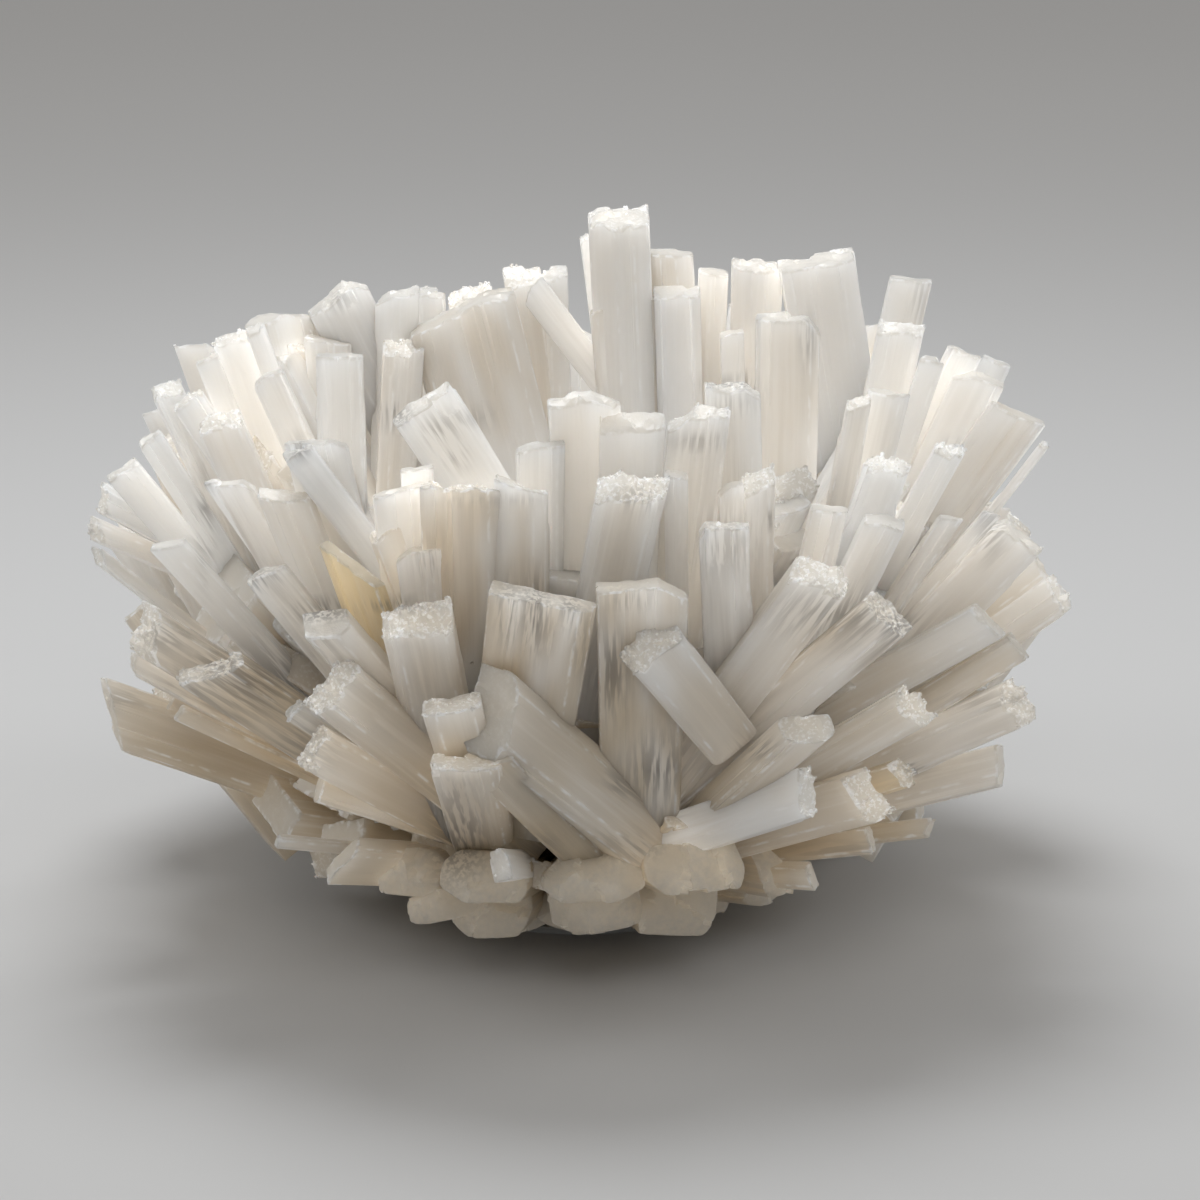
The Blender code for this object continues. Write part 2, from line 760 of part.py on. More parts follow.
def front_first_angle(blades):
    """Angle of a bunch around the bowl, from the front and toward +X."""
    x = sum(blade.tip.x for blade in blades)
    y = sum(blade.tip.y for blade in blades)
    return math.atan2(x, -y) % math.tau


def clean(work):
    """Weld corners that coincide and drop faces and edges with no size."""
    bmesh.ops.remove_doubles(work, verts=work.verts, dist=WELD_DISTANCE)
    bmesh.ops.dissolve_degenerate(work, edges=work.edges, dist=WELD_DISTANCE)


def mesh_from_faces(name, faces):
    """A mesh with the faces' shared corners welded."""
    work = bmesh.new()
    for face in faces:
        work.faces.new([work.verts.new(corner) for corner in face])
    clean(work)
    bmesh.ops.recalc_face_normals(work, faces=work.faces)
    mesh = bpy.data.meshes.new(name)
    work.to_mesh(mesh)
    work.free()
    return mesh


def shells(work):
    """The mesh's separate surfaces, each a list of corners."""
    left = set(work.verts)
    found = []
    while left:
        shell = []
        waiting = [left.pop()]
        while waiting:
            corner = waiting.pop()
            shell.append(corner)
            for edge in corner.link_edges:
                other = edge.other_vert(corner)
                if other in left:
                    left.remove(other)
                    waiting.append(other)
        found.append(shell)
    return found


def tidy_solid(mesh):
    """Clean a fused mesh, and fill any room that its blades enclose."""
    work = bmesh.new()
    work.from_mesh(mesh)
    clean(work)
    parts = shells(work)
    outer = max(parts, key=lambda shell: extent(shell))
    for shell in parts:
        if shell is not outer:
            bmesh.ops.delete(work, geom=shell, context="VERTS")
    work.to_mesh(mesh)
    work.free()


def extent(shell):
    corners = np.array([tuple(corner.co) for corner in shell])
    return np.ptp(corners, axis=0).sum()


def fuse(name, blades):
    """One solid of a bunch's blades, by Boolean unions."""
    meshes = [mesh_from_faces(name, blade.faces) for blade in blades]
    solid = bpy.data.objects.new(name, meshes[0])
    bpy.context.collection.objects.link(solid)
    for mesh in meshes[1:]:
        other = bpy.data.objects.new(name + "_blade", mesh)
        bpy.context.collection.objects.link(other)
        union = solid.modifiers.new("Union", "BOOLEAN")
        union.operation = "UNION"
        union.solver = "EXACT"
        union.object = other
        bpy.context.view_layer.update()
        graph = bpy.context.evaluated_depsgraph_get()
        fused = bpy.data.meshes.new_from_object(solid.evaluated_get(graph))
        solid.modifiers.remove(union)
        bpy.data.objects.remove(other)
        work = bmesh.new()
        work.from_mesh(fused)
        clean(work)
        work.to_mesh(fused)
        work.free()
        solid.data = fused
    tidy_solid(solid.data)
    return solid


def spar_material(name, tone):
    """Milky white to warm stone; tone is 0 for white and 1 for warm."""
    material = bpy.data.materials.new(name)
    material.use_nodes = True
    shader = material.node_tree.nodes["Principled BSDF"]
    colour = [white + (warm - white) * tone for warm, white in zip(SPAR_WARM, SPAR_WHITE)]
    shader.inputs["Base Color"].default_value = (*colour, 1)
    shader.inputs["Roughness"].default_value = SPAR_ROUGHNESS
    shader.inputs["Metallic"].default_value = 0.0
    return material


def clear_material():
    material = bpy.data.materials.new("clear_disc")
    material.use_nodes = True
    shader = material.node_tree.nodes["Principled BSDF"]
    shader.inputs["Base Color"].default_value = (*CLEAR_COLOUR, 1)
    shader.inputs["Roughness"].default_value = CLEAR_ROUGHNESS
    shader.inputs["Metallic"].default_value = 0.0
    return material


def base_disc():
    """The clear round disc on which the bowl stands."""
    work = bmesh.new()
    bmesh.ops.create_cone(
        work,
        cap_ends=True,
        segments=DISC_SIDES,
        radius1=DISC_RADIUS,
        radius2=DISC_RADIUS,
        depth=DISC_THICKNESS,
    )
    mesh = bpy.data.meshes.new("base_disc")
    work.to_mesh(mesh)
    work.free()
    mesh.materials.append(clear_material())
    disc = bpy.data.objects.new("base_disc", mesh)
    disc.location = (0, 0, DISC_THICKNESS / 2)
    bpy.context.collection.objects.link(disc)
    return disc


def all_blades():
    rng = random.Random(SEED)
    rows = (
        FOOT_STONES
        + LOWER_LEFT_BLADES
        + LOWER_RIGHT_BLADES
        + LEFT_BLADES
        + MIDDLE_BLADES
        + RIGHT_BLADES
        + FAR_BLADES
        + LYING_BLADES
    )
    blades = [blade_from_row(row, rng) for row in rows]
    blades += back_blades(rng)
    blades += infill_blades(blades, rng)
    down = (0, 0, -1)
    for number, blade in enumerate(blades):
        blade.cut(down, -LOWEST_SPAR - FLOOR_STEP * (number % FLOOR_STEPS))
    return blades


def named_bunches(blades):
    """Part the blades into bunches and name them by course, from the front round."""
    groups = bunch_blades(blades)
    owner = {}
    for number, group in enumerate(groups):
        for i in group:
            owner[i] = number
    for i, first in enumerate(blades):
        for j in range(i + 1, len(blades)):
            if owner[i] != owner[j]:
                part_blades(first, blades[j])
    courses = {}
    for group in groups:
        for bunch in split_bunch([blades[i] for i in group]):
            courses.setdefault(course_name(bunch), []).append(bunch)
    bunches = []
    for course in sorted(courses):
        ordered = sorted(courses[course], key=front_first_angle)
        for number, bunch in enumerate(ordered, 1):
            bunches.append((f"{course}_{number:02d}", bunch))
    return bunches


def main():
    for thing in list(bpy.data.objects):
        bpy.data.objects.remove(thing)
    base_disc()
    tones = random.Random(SEED + 1)
    for name, bunch in named_bunches(all_blades()):
        solid = fuse(name, bunch)
        solid.data.materials.clear()
        solid.data.materials.append(spar_material(name, tones.uniform(0, 1)))


main()
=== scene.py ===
# %% [markdown]
# # A bowl of satin spar
# Satin spar is fibrous gypsum: milky blades with a silky shine along their fibres. This bowl
# is made of some two hundred broken blades, glued in courses over a small clear disc, so that
# they fan out like the spines of an urchin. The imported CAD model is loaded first, because every
# visible piece stands for one of its solids and stays in its place.

import math
import random
from collections import namedtuple
from types import SimpleNamespace

import bpy
import numpy as np
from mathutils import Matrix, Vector
from mathutils.bvhtree import BVHTree
from mathutils.geometry import delaunay_2d_cdt


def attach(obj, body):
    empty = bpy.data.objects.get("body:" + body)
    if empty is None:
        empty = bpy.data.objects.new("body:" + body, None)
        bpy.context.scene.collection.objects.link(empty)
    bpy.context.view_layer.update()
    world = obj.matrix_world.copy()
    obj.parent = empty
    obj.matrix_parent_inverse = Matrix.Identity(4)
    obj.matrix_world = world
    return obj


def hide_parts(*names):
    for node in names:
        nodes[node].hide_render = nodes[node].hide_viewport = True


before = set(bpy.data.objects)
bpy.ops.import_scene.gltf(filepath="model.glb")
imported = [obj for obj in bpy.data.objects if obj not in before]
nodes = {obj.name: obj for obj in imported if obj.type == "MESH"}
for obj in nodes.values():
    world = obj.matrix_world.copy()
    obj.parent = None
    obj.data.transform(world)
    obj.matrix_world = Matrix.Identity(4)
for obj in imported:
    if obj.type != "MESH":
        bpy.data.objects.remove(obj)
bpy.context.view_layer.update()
print(f"{len(nodes)} solids in the frame")

# %% [markdown]
# ## The front view
# The blades were set out from the front: where a tip shows, and where its axis runs. To put a
# blade back in space, a pixel is turned into a ray from the eye. The alternative is to type in
# three coordinates for each corner, which nobody could read or correct.

# %% A ray through a pixel
BOWL_WIDTH = 0.420
BOWL_WIDTH_PX = 990
METRES_PER_PX = BOWL_WIDTH / BOWL_WIDTH_PX
PICTURE_PX = 1200
VIEW_MIDDLE_PX = PICTURE_PX // 2
ORIGIN_U_PX = 580
ORIGIN_V_PX = 886
VIEW_ELEVATION = math.radians(15)
VIEW_DISTANCE = 1.8

RIGHT = Vector((1, 0, 0))
FORWARD = Vector((0, math.cos(VIEW_ELEVATION), -math.sin(VIEW_ELEVATION)))
UPWARD = Vector((0, math.sin(VIEW_ELEVATION), math.cos(VIEW_ELEVATION)))
VIEW_TARGET = (
    RIGHT * (VIEW_MIDDLE_PX - ORIGIN_U_PX) + UPWARD * (ORIGIN_V_PX - VIEW_MIDDLE_PX)
) * METRES_PER_PX
EYE = VIEW_TARGET - FORWARD * VIEW_DISTANCE


def sight(u, v):
    """Ray through a pixel of the front view; 1 along it is the plane of the target."""
    across = RIGHT * (u - VIEW_MIDDLE_PX) + UPWARD * (VIEW_MIDDLE_PX - v)
    return FORWARD * VIEW_DISTANCE + across * METRES_PER_PX


def seen_at(points):
    """Pixels of the front view at which points, the rows of an array, are seen."""
    offset = points - np.array(EYE)
    scale = VIEW_DISTANCE / (offset @ np.array(FORWARD)) / METRES_PER_PX
    u = VIEW_MIDDLE_PX + (offset @ np.array(RIGHT)) * scale
    v = VIEW_MIDDLE_PX - (offset @ np.array(UPWARD)) * scale
    return u, v


print("The eye stands at", [round(x, 3) for x in EYE])

# %% [markdown]
# ## The blades of the near side
# One row is one blade: the two ends of its broken tip and a point that its axis runs toward,
# in pixels, then its thickness and how far inside the bowl's rounded outside the tip stops, in
# millimetres. A table is the plainest way to write down a thing that somebody glued by hand.

# %% Foot stones and lowest course
Near = namedtuple("Near", "left_u left_v right_u right_v toward_u toward_v thick inset")

FOOT_STONES = [
    Near(414, 926, 408, 896, 520, 915, 20, 0),
    Near(450, 931, 522, 928, 510, 890, 16, 0),
    Near(556, 931, 640, 917, 600, 880, 16, 0),
    Near(642, 925, 718, 927, 690, 880, 18, 0),
    Near(440, 892, 520, 896, 500, 860, 12, 3),
    Near(545, 898, 640, 892, 600, 860, 12, 5),
    Near(655, 888, 745, 880, 690, 850, 12, 3),
    Near(372, 884, 425, 893, 470, 870, 12, 4),
    Near(770, 894, 800, 886, 700, 900, 12, 2),
]
LOWER_LEFT_BLADES = [
    Near(118, 748, 100, 680, 283, 810, 14, 0),
    Near(130, 648, 140, 601, 289, 753, 12, 0),
    Near(129, 673, 128, 651, 285, 775, 7, 0),
    Near(178, 668, 236, 651, 330, 765, 12, 6),
    Near(172, 716, 182, 704, 330, 800, 7, 8),
    Near(302, 612, 345, 606, 420, 720, 14, 2),
    Near(302, 697, 338, 652, 440, 770, 14, 0),
    Near(280, 712, 298, 698, 350, 770, 6, 2),
    Near(295, 760, 318, 723, 400, 815, 10, 0),
    Near(330, 540, 383, 580, 402, 690, 6, 8),
    Near(383, 600, 449, 598, 440, 720, 15, 0),
    Near(398, 548, 440, 545, 430, 640, 9, 14),
    Near(312, 800, 318, 775, 430, 870, 10, 2),
    Near(272, 845, 276, 833, 380, 890, 6, 0),
    Near(322, 868, 355, 838, 420, 900, 9, 0),
]
LOWER_RIGHT_BLADES = [
    Near(1018, 677, 1044, 713, 859, 789, 14, -2),
    Near(912, 682, 936, 715, 800, 775, 10, 2),
    Near(1008, 745, 1003, 786, 818, 834, 11, -2),
    Near(905, 757, 925, 782, 800, 810, 7, 4),
    Near(868, 768, 893, 812, 760, 830, 11, 2),
    Near(818, 768, 820, 814, 680, 838, 12, 0),
    Near(780, 716, 828, 712, 745, 790, 14, 2),
    Near(937, 820, 931, 838, 800, 865, 6, 0),
    Near(872, 826, 878, 850, 740, 880, 9, 2),
    Near(812, 862, 820, 884, 690, 905, 9, 0),
]
print(len(FOOT_STONES + LOWER_LEFT_BLADES + LOWER_RIGHT_BLADES), "stones and low blades")

# %% [markdown]
# The sides and the middle are read off in the same way. A blade's number, used further on, is
# its place in these tables: stones and low blades are 0 to 33, the left 34 to 54, the middle 55
# to 75, the right 76 to 98, and the tables that follow bring it to 121.

# %% Left side
LEFT_BLADES = [
    Near(95, 510, 95, 479, 183, 542, 10, 0),
    Near(107, 474, 133, 456, 172, 550, 10, 0),
    Near(136, 440, 158, 428, 184, 527, 9, 0),
    Near(150, 384, 178, 379, 182, 470, 9, 0),
    Near(172, 402, 200, 386, 222, 450, 11, 4),
    Near(196, 360, 217, 349, 232, 440, 9, 0),
    Near(214, 337, 247, 326, 262, 430, 10, 0),
    Near(245, 326, 264, 319, 290, 420, 9, 0),
    Near(252, 374, 282, 368, 303, 450, 9, 10),
    Near(197, 415, 237, 408, 258, 505, 11, 6),
    Near(204, 480, 218, 477, 236, 585, 6, 4),
    Near(218, 482, 250, 478, 272, 590, 9, 12),
    Near(262, 485, 310, 490, 305, 600, 11, 10),
    Near(280, 453, 307, 440, 358, 530, 9, 0),
    Near(290, 440, 345, 438, 345, 560, 12, 14),
    Near(90, 540, 84, 515, 150, 555, 9, 4),
    Near(92, 563, 88, 541, 150, 598, 9, 2),
    Near(152, 543, 184, 538, 232, 610, 10, 6),
    Near(318, 352, 362, 352, 343, 450, 11, 4),
    Near(368, 532, 395, 508, 410, 600, 10, 12),
    Near(248, 575, 282, 560, 345, 665, 10, 6),
]
print(len(LEFT_BLADES), "blades on the left")

# %% Middle
MIDDLE_BLADES = [
    Near(425, 484, 500, 486, 465, 600, 12, 0),
    Near(500, 476, 548, 492, 525, 600, 11, 4),
    Near(375, 492, 425, 481, 408, 600, 12, 6),
    Near(402, 468, 433, 465, 420, 560, 9, 12),
    Near(518, 442, 562, 437, 540, 560, 9, 10),
    Near(550, 395, 616, 385, 590, 575, 11, 0),
    Near(603, 410, 662, 405, 625, 575, 10, 0),
    Near(605, 466, 667, 476, 612, 580, 12, 0),
    Near(667, 468, 688, 472, 678, 560, 10, 12),
    Near(673, 404, 728, 406, 692, 480, 11, 0),
    Near(707, 379, 758, 382, 735, 480, 11, 0),
    Near(758, 312, 817, 312, 785, 440, 10, 0),
    Near(498, 580, 592, 600, 530, 700, 12, 0),
    Near(600, 582, 682, 575, 640, 700, 11, 2),
    Near(466, 750, 510, 742, 600, 860, 10, 4),
    Near(424, 700, 478, 690, 450, 790, 14, 2),
    Near(436, 752, 500, 756, 478, 880, 10, 0),
    Near(493, 882, 487, 852, 590, 905, 9, -3),
    Near(742, 470, 773, 466, 755, 580, 11, 4),
    Near(700, 520, 748, 518, 728, 640, 9, 0),
    Near(718, 484, 742, 480, 730, 560, 9, 10),
]
print(len(MIDDLE_BLADES), "blades in the middle")

# %% Right side
RIGHT_BLADES = [
    Near(892, 275, 930, 278, 895, 380, 11, 0),
    Near(880, 318, 922, 322, 885, 400, 11, 4),
    Near(922, 354, 945, 359, 915, 430, 7, 2),
    Near(950, 344, 980, 356, 925, 430, 9, 0),
    Near(960, 366, 1003, 380, 930, 500, 11, 0),
    Near(984, 352, 1010, 364, 985, 420, 7, -2),
    Near(993, 399, 1044, 420, 990, 510, 12, -2),
    Near(1042, 437, 1051, 443, 1005, 500, 6, -2),
    Near(940, 436, 968, 446, 905, 530, 9, 6),
    Near(845, 398, 870, 392, 850, 480, 9, 6),
    Near(870, 386, 908, 392, 875, 480, 10, 6),
    Near(868, 452, 912, 455, 862, 560, 11, 4),
    Near(866, 512, 905, 516, 850, 600, 11, 8),
    Near(985, 508, 1001, 514, 930, 600, 6, 2),
    Near(1003, 516, 1043, 545, 945, 610, 14, 0),
    Near(1038, 550, 1051, 575, 970, 620, 9, 2),
    Near(940, 512, 962, 516, 915, 600, 7, 12),
    Near(1056, 573, 1075, 604, 986, 651, 11, -4),
    Near(1012, 632, 1030, 655, 900, 720, 10, 2),
    Near(978, 603, 1006, 632, 880, 680, 10, 6),
    Near(812, 503, 846, 506, 815, 600, 10, 8),
    Near(800, 556, 857, 565, 745, 670, 12, 0),
    Near(878, 588, 913, 622, 760, 720, 15, 0),
]
print(len(RIGHT_BLADES), "blades on the right")

# %% [markdown]
# ## The far side of the mouth, and blades that lie across
# The tall blades at the back of the mouth are given by their tip's distance from the bowl's
# axis, in millimetres. Four blades lie across the others. For those both ends are given, with
# how far back each lies.

# %% Far and lying blades
Far = namedtuple("Far", "left_u left_v right_u right_v toward_u toward_v thick radius")
Lying = namedtuple("Lying", "left_u left_v right_u right_v root_u root_v thick tip_back root_back")

FAR_BLADES = [
    Far(309, 307, 357, 272, 378, 379, 22, 150),
    Far(264, 321, 312, 333, 312, 420, 20, 160),
    Far(308, 333, 350, 338, 335, 420, 16, 140),
    Far(378, 290, 418, 286, 395, 380, 18, 125),
    Far(420, 289, 444, 291, 435, 360, 14, 140),
    Far(451, 286, 490, 281, 472, 340, 14, 140),
    Far(386, 338, 424, 334, 400, 420, 14, 105),
    Far(413, 326, 505, 281, 495, 440, 26, 105),
    Far(504, 268, 538, 263, 530, 330, 16, 130),
    Far(540, 268, 566, 264, 555, 330, 14, 125),
    Far(590, 206, 645, 204, 628, 440, 30, 100),
    Far(579, 234, 588, 230, 592, 300, 10, 103),
    Far(592, 297, 654, 293, 630, 400, 14, 84),
    Far(649, 248, 690, 250, 675, 330, 18, 112),
    Far(655, 286, 697, 283, 680, 430, 16, 92),
    Far(700, 265, 727, 267, 710, 350, 14, 115),
    Far(734, 257, 780, 260, 755, 340, 18, 120),
    Far(780, 260, 848, 247, 835, 390, 20, 130),
    Far(720, 331, 742, 328, 733, 400, 12, 95),
]
LYING_BLADES = [
    Lying(612, 648, 662, 606, 722, 732, 14, -196, -160),
    Lying(510, 748, 524, 682, 640, 838, 17, -188, -118),
    Lying(395, 412, 440, 380, 505, 530, 12, -124, -112),
    Lying(519, 297, 541, 274, 640, 430, 12, 88, 60),
]
print(len(FAR_BLADES), "far blades and", len(LYING_BLADES), "lying blades")

# %% [markdown]
# ## From rows to places
# The bowl's outside is a rounded envelope, a little flatter above its widest place. A near tip
# lies where its ray enters that envelope, and the root stands on a ring near the axis, at the
# place that the blade runs toward in the view. The random draws and their order are the same
# as in the solids, so that each blade lands where its solid is.

# %% Envelope and rays
ENVELOPE_RADIUS = 0.210
ENVELOPE_MIDDLE = 0.145
ENVELOPE_ABOVE = 0.146
ENVELOPE_BELOW = 0.160
RAY_STEPS = 700
RAY_STEP = 0.0005
NEAR_START = 0.85
FAR_START = 1.20


def envelope_level(point):
    """1 on the bowl's rounded outside, less within it."""
    rise = point.z - ENVELOPE_MIDDLE
    half = ENVELOPE_ABOVE if rise > 0 else ENVELOPE_BELOW
    return math.hypot(point.x, point.y) ** 2 / ENVELOPE_RADIUS ** 2 + (rise / half) ** 2


def first_along(ray, start, step, measure, limit):
    """The first place along a ray where a measure falls to its limit, or where it is least."""
    best = None
    for number in range(RAY_STEPS):
        along = start + step * number
        value = measure(EYE + ray * along)
        if best is None or value < best[0]:
            best = (value, along)
        if value <= limit:
            return along
    return best[1]


def near_distance(u, v, inset_mm):
    """How far along its ray a near tip lies, so far within the envelope."""
    limit = (1 - inset_mm / 1000 / ENVELOPE_RADIUS) ** 2
    return first_along(sight(u, v), NEAR_START, RAY_STEP, envelope_level, limit)


def far_distance(u, v, radius_mm):
    """How far along its ray a far tip lies, so far from the bowl's axis."""
    def radius(point):
        return math.hypot(point.x, point.y)
    return first_along(sight(u, v), FAR_START, -RAY_STEP, radius, radius_mm / 1000)


def back_distance(u, v, back_mm):
    """How far along its ray a point lies that is so far back."""
    return (back_mm / 1000 - EYE.y) / sight(u, v).y


middle_distance = near_distance(VIEW_MIDDLE_PX, VIEW_MIDDLE_PX, 0)
print("A tip in the middle of the view lies", round(middle_distance, 3), "along its ray")

# %% [markdown]
# A root is hidden, so it is chosen: on a ring round the axis, small and low for the foot's
# stones and wider and higher for the tall blades. Of the ring's places, the one is taken that
# the blade runs toward in the view, unless another lies nearly as well and turns it less.

# %% Roots
ROOT_RADIUS = 0.042
ROOT_RADIUS_FOOT = 0.008
ROOT_FULL_ABOVE = 0.120
ROOT_FOOT_BELOW = 0.040
ROOT_RISE = 0.25
ROOT_DROP = 0.004
ROOT_LOWEST = 0.014
TURN_FREE = 0.5
TURN_COST = 40
RING_STEP_DEGREES = 2


def root_ring(tip):
    """Radius and height of the ring on which a blade's root stands."""
    height = max(ROOT_LOWEST, ROOT_RISE * tip.z - ROOT_DROP)
    low = min(1, max(0, (ROOT_FULL_ABOVE - tip.z) / (ROOT_FULL_ABOVE - ROOT_FOOT_BELOW)))
    return ROOT_RADIUS + (ROOT_RADIUS_FOOT - ROOT_RADIUS) * low, height


def tip_middle(row):
    """The pixel in the middle of a row's broken tip."""
    return (row.left_u + row.right_u) / 2, (row.left_v + row.right_v) / 2


def root_below(tip, row):
    """The place on the root ring that the blade's axis meets in the front view."""
    radius, height = root_ring(tip)
    tip_u, tip_v = tip_middle(row)
    run_u = row.toward_u - tip_u
    run_v = row.toward_v - tip_v
    angles = np.radians(np.arange(0, 360, RING_STEP_DEGREES))
    ring = np.stack([radius * np.cos(angles), radius * np.sin(angles), angles * 0 + height], axis=1)
    u, v = seen_at(ring)
    miss = np.abs((u - tip_u) * run_v - (v - tip_v) * run_u) / math.hypot(run_u, run_v)
    turn = np.abs((angles - math.atan2(tip.y, tip.x) + math.pi) % math.tau - math.pi)
    cost = miss + TURN_COST * np.maximum(0, turn - TURN_FREE) ** 2 + turn
    return Vector(ring[cost.argmin()])


print("A tip 0.1 m up has its root at", [round(x, 3) for x in root_ring(Vector((0, 0, 0.1)))])

# %% [markdown]
# Tip and root give a blade its axis, and the tip's two ends its width. Its outline across the
# fibres is a plain rectangle with bevelled corners, because spar splits along flat planes. A
# thick blade has two bevels, a plate has one, and some blades of the courses have none.

# %% A blade in its place
PLATE_BELOW = 14
LEAN = (-0.25, 0.45)
BEVEL = (0.06, 0.34)
BEVEL_LENGTH = 1.3


def place(tip_a, tip_b, root, thick, corners, draws):
    """A blade's axes, measures and outline across its fibres."""
    tip = (tip_a + tip_b) / 2
    axis = (tip - root).normalized()
    edge = tip_b - tip_a
    along = edge.dot(axis)
    across = edge - axis * along
    width = across.length
    across.normalize()
    depth = axis.cross(across)
    if (depth.dot(FORWARD) < 0) != (axis.dot(FORWARD) < 0):
        depth.negate()
    lean = draws.uniform(*LEAN)
    cut_a = draws.uniform(*BEVEL) * min(thick, width)
    cut_b = draws.uniform(*BEVEL) * min(thick, width)
    half = width / 2
    outline = [(-half, 0), (half, 0)]
    if corners > 4:
        outline += [(half, thick - cut_b), (half - cut_b * BEVEL_LENGTH, thick)]
    else:
        outline += [(half, thick)]
    if corners > 5:
        outline += [(-half + cut_a * BEVEL_LENGTH, thick), (-half, thick - cut_a)]
    else:
        outline += [(-half, thick)]
    return SimpleNamespace(
        tip=tip, root=root, axis=axis, across=across, depth=depth, width=width, thick=thick,
        slope=along / width, lean=lean, outline=outline, length=(tip - root).length,
    )

# %% [markdown]
# Now each row of the tables is read: its kind says how deep along the ray the tip lies. Both
# ends of a tip are put at the same depth, since the picture can't tell which is nearer.

# %% Blades of the front view
def blade_from_row(row, draws):
    """The blade of one row of the tables."""
    if isinstance(row, Lying):
        along = back_distance(*tip_middle(row), row.tip_back)
    elif isinstance(row, Far):
        along = far_distance(*tip_middle(row), row.radius)
    else:
        along = near_distance(*tip_middle(row), row.inset)
    tip_a = EYE + sight(row.left_u, row.left_v) * along
    tip_b = EYE + sight(row.right_u, row.right_v) * along
    if isinstance(row, Lying):
        root_along = back_distance(row.root_u, row.root_v, row.root_back)
        root = EYE + sight(row.root_u, row.root_v) * root_along
    else:
        root = root_below((tip_a + tip_b) / 2, row)
    corners = 6 if row.thick >= PLATE_BELOW else 5
    return place(tip_a, tip_b, root, row.thick / 1000, corners, draws)


SEED = 11
draws = random.Random(SEED)
rows = (
    FOOT_STONES + LOWER_LEFT_BLADES + LOWER_RIGHT_BLADES + LEFT_BLADES
    + MIDDLE_BLADES + RIGHT_BLADES + FAR_BLADES + LYING_BLADES
)
blades = [blade_from_row(row, draws) for row in rows]
front_count = len(blades)
first_lying = front_count - len(LYING_BLADES)
print(front_count, "blades placed from the front view")

# %% [markdown]
# ## The hidden side and the gaps
# The back isn't in any picture, so it repeats the courses that show: blades on rings, each a
# little off its height, reach and direction. Shorter blades then close the gaps all round. A
# loop with small random offsets does that better than a second table of guesses.

# %% Courses at the back, and shorter blades between
Course = namedtuple("Course", "height spacing inset width thick")
BACK_COURSES = [
    Course(0.034, 0.052, 0.006, 0.034, 0.018),
    Course(0.074, 0.054, 0.002, 0.033, 0.014),
    Course(0.112, 0.058, 0.000, 0.034, 0.015),
    Course(0.150, 0.058, 0.001, 0.033, 0.015),
    Course(0.188, 0.056, 0.002, 0.034, 0.015),
    Course(0.222, 0.050, 0.004, 0.030, 0.014),
]
INFILL_COURSES = [
    Course(0.055, 0.050, 0.024, 0.034, 0.016),
    Course(0.105, 0.050, 0.026, 0.034, 0.016),
    Course(0.155, 0.050, 0.028, 0.034, 0.016),
    Course(0.200, 0.050, 0.026, 0.032, 0.014),
]
BACK_STARTS_AT = 0.045
LEAST_BACK = 3
INFILL_CLEARANCE = 0.0245
INFILL_TRIES = 2
# How far a blade of a course strays, in metres, radians and parts of its width or spacing.
STRAY_HEIGHT = 0.007
STRAY_REACH = 0.008
STRAY_ROOT = 0.12
STRAY_TILT = 0.35
STRAY_STEP = 0.25
WIDTHS = (0.75, 1.3)


print(len(BACK_COURSES), "courses at the back,", len(INFILL_COURSES), "between")

# %% [markdown]
# A blade of a course is placed like any other, from two tip ends and a root. Only its places
# come from a ring and a few draws in place of a table. Real blades were put on one by one by
# eye, so each strays a little in every way.

# %% One blade of a course
def envelope_radius(height, inset):
    """Radius of the bowl's rounded outside at a height, less an inset."""
    rise = height - ENVELOPE_MIDDLE
    half = ENVELOPE_ABOVE if rise > 0 else ENVELOPE_BELOW
    return ENVELOPE_RADIUS * math.sqrt(1 - (rise / half) ** 2) - inset


def around(radius, angle, height):
    """The point at a radius, an angle and a height."""
    return Vector((radius * math.cos(angle), radius * math.sin(angle), height))


def course_blade(course, angle, draws):
    """One blade of a course, a little off its course's height, reach and direction."""
    height = course.height + draws.uniform(-STRAY_HEIGHT, STRAY_HEIGHT)
    reach = envelope_radius(height, course.inset) - draws.uniform(0, STRAY_REACH)
    tip = around(reach, angle, height)
    root_radius, root_height = root_ring(tip)
    root = around(root_radius, angle + draws.uniform(-STRAY_ROOT, STRAY_ROOT), root_height)
    width = course.width * draws.uniform(*WIDTHS)
    tilt = draws.uniform(-STRAY_TILT, STRAY_TILT)
    tangent = Vector((-math.sin(angle), math.cos(angle), tilt))
    half = tangent.normalized() * width / 2
    return place(tip - half, tip + half, root, course.thick, draws.choice((4, 5)), draws)


sample_radius = envelope_radius(BACK_COURSES[0].height, BACK_COURSES[0].inset)
print("the lowest course at the back has a radius of", round(sample_radius, 3), "m")

# %% [markdown]
# The back gets blades at even steps round half a ring. The gaps need another way: blades are
# tried all round, and one stays only where its tip is clear of every blade so far. That fills
# gaps of any shape without a list of where they are.

# %% Fill the back and the gaps
def back_blades(draws):
    """Blades of the hidden side, in courses like those in front."""
    made = []
    for number, course in enumerate(BACK_COURSES):
        radius = envelope_radius(course.height, course.inset)
        start = math.asin(min(1, BACK_STARTS_AT / radius))
        sweep = math.pi - 2 * start
        count = max(LEAST_BACK, round(sweep * radius / course.spacing))
        for i in range(count):
            angle = start + sweep * (i + 0.5 * (1 + number % 2)) / count
            angle += draws.uniform(-STRAY_STEP, STRAY_STEP) * course.spacing / radius
            made.append(course_blade(course, angle, draws))
    return made


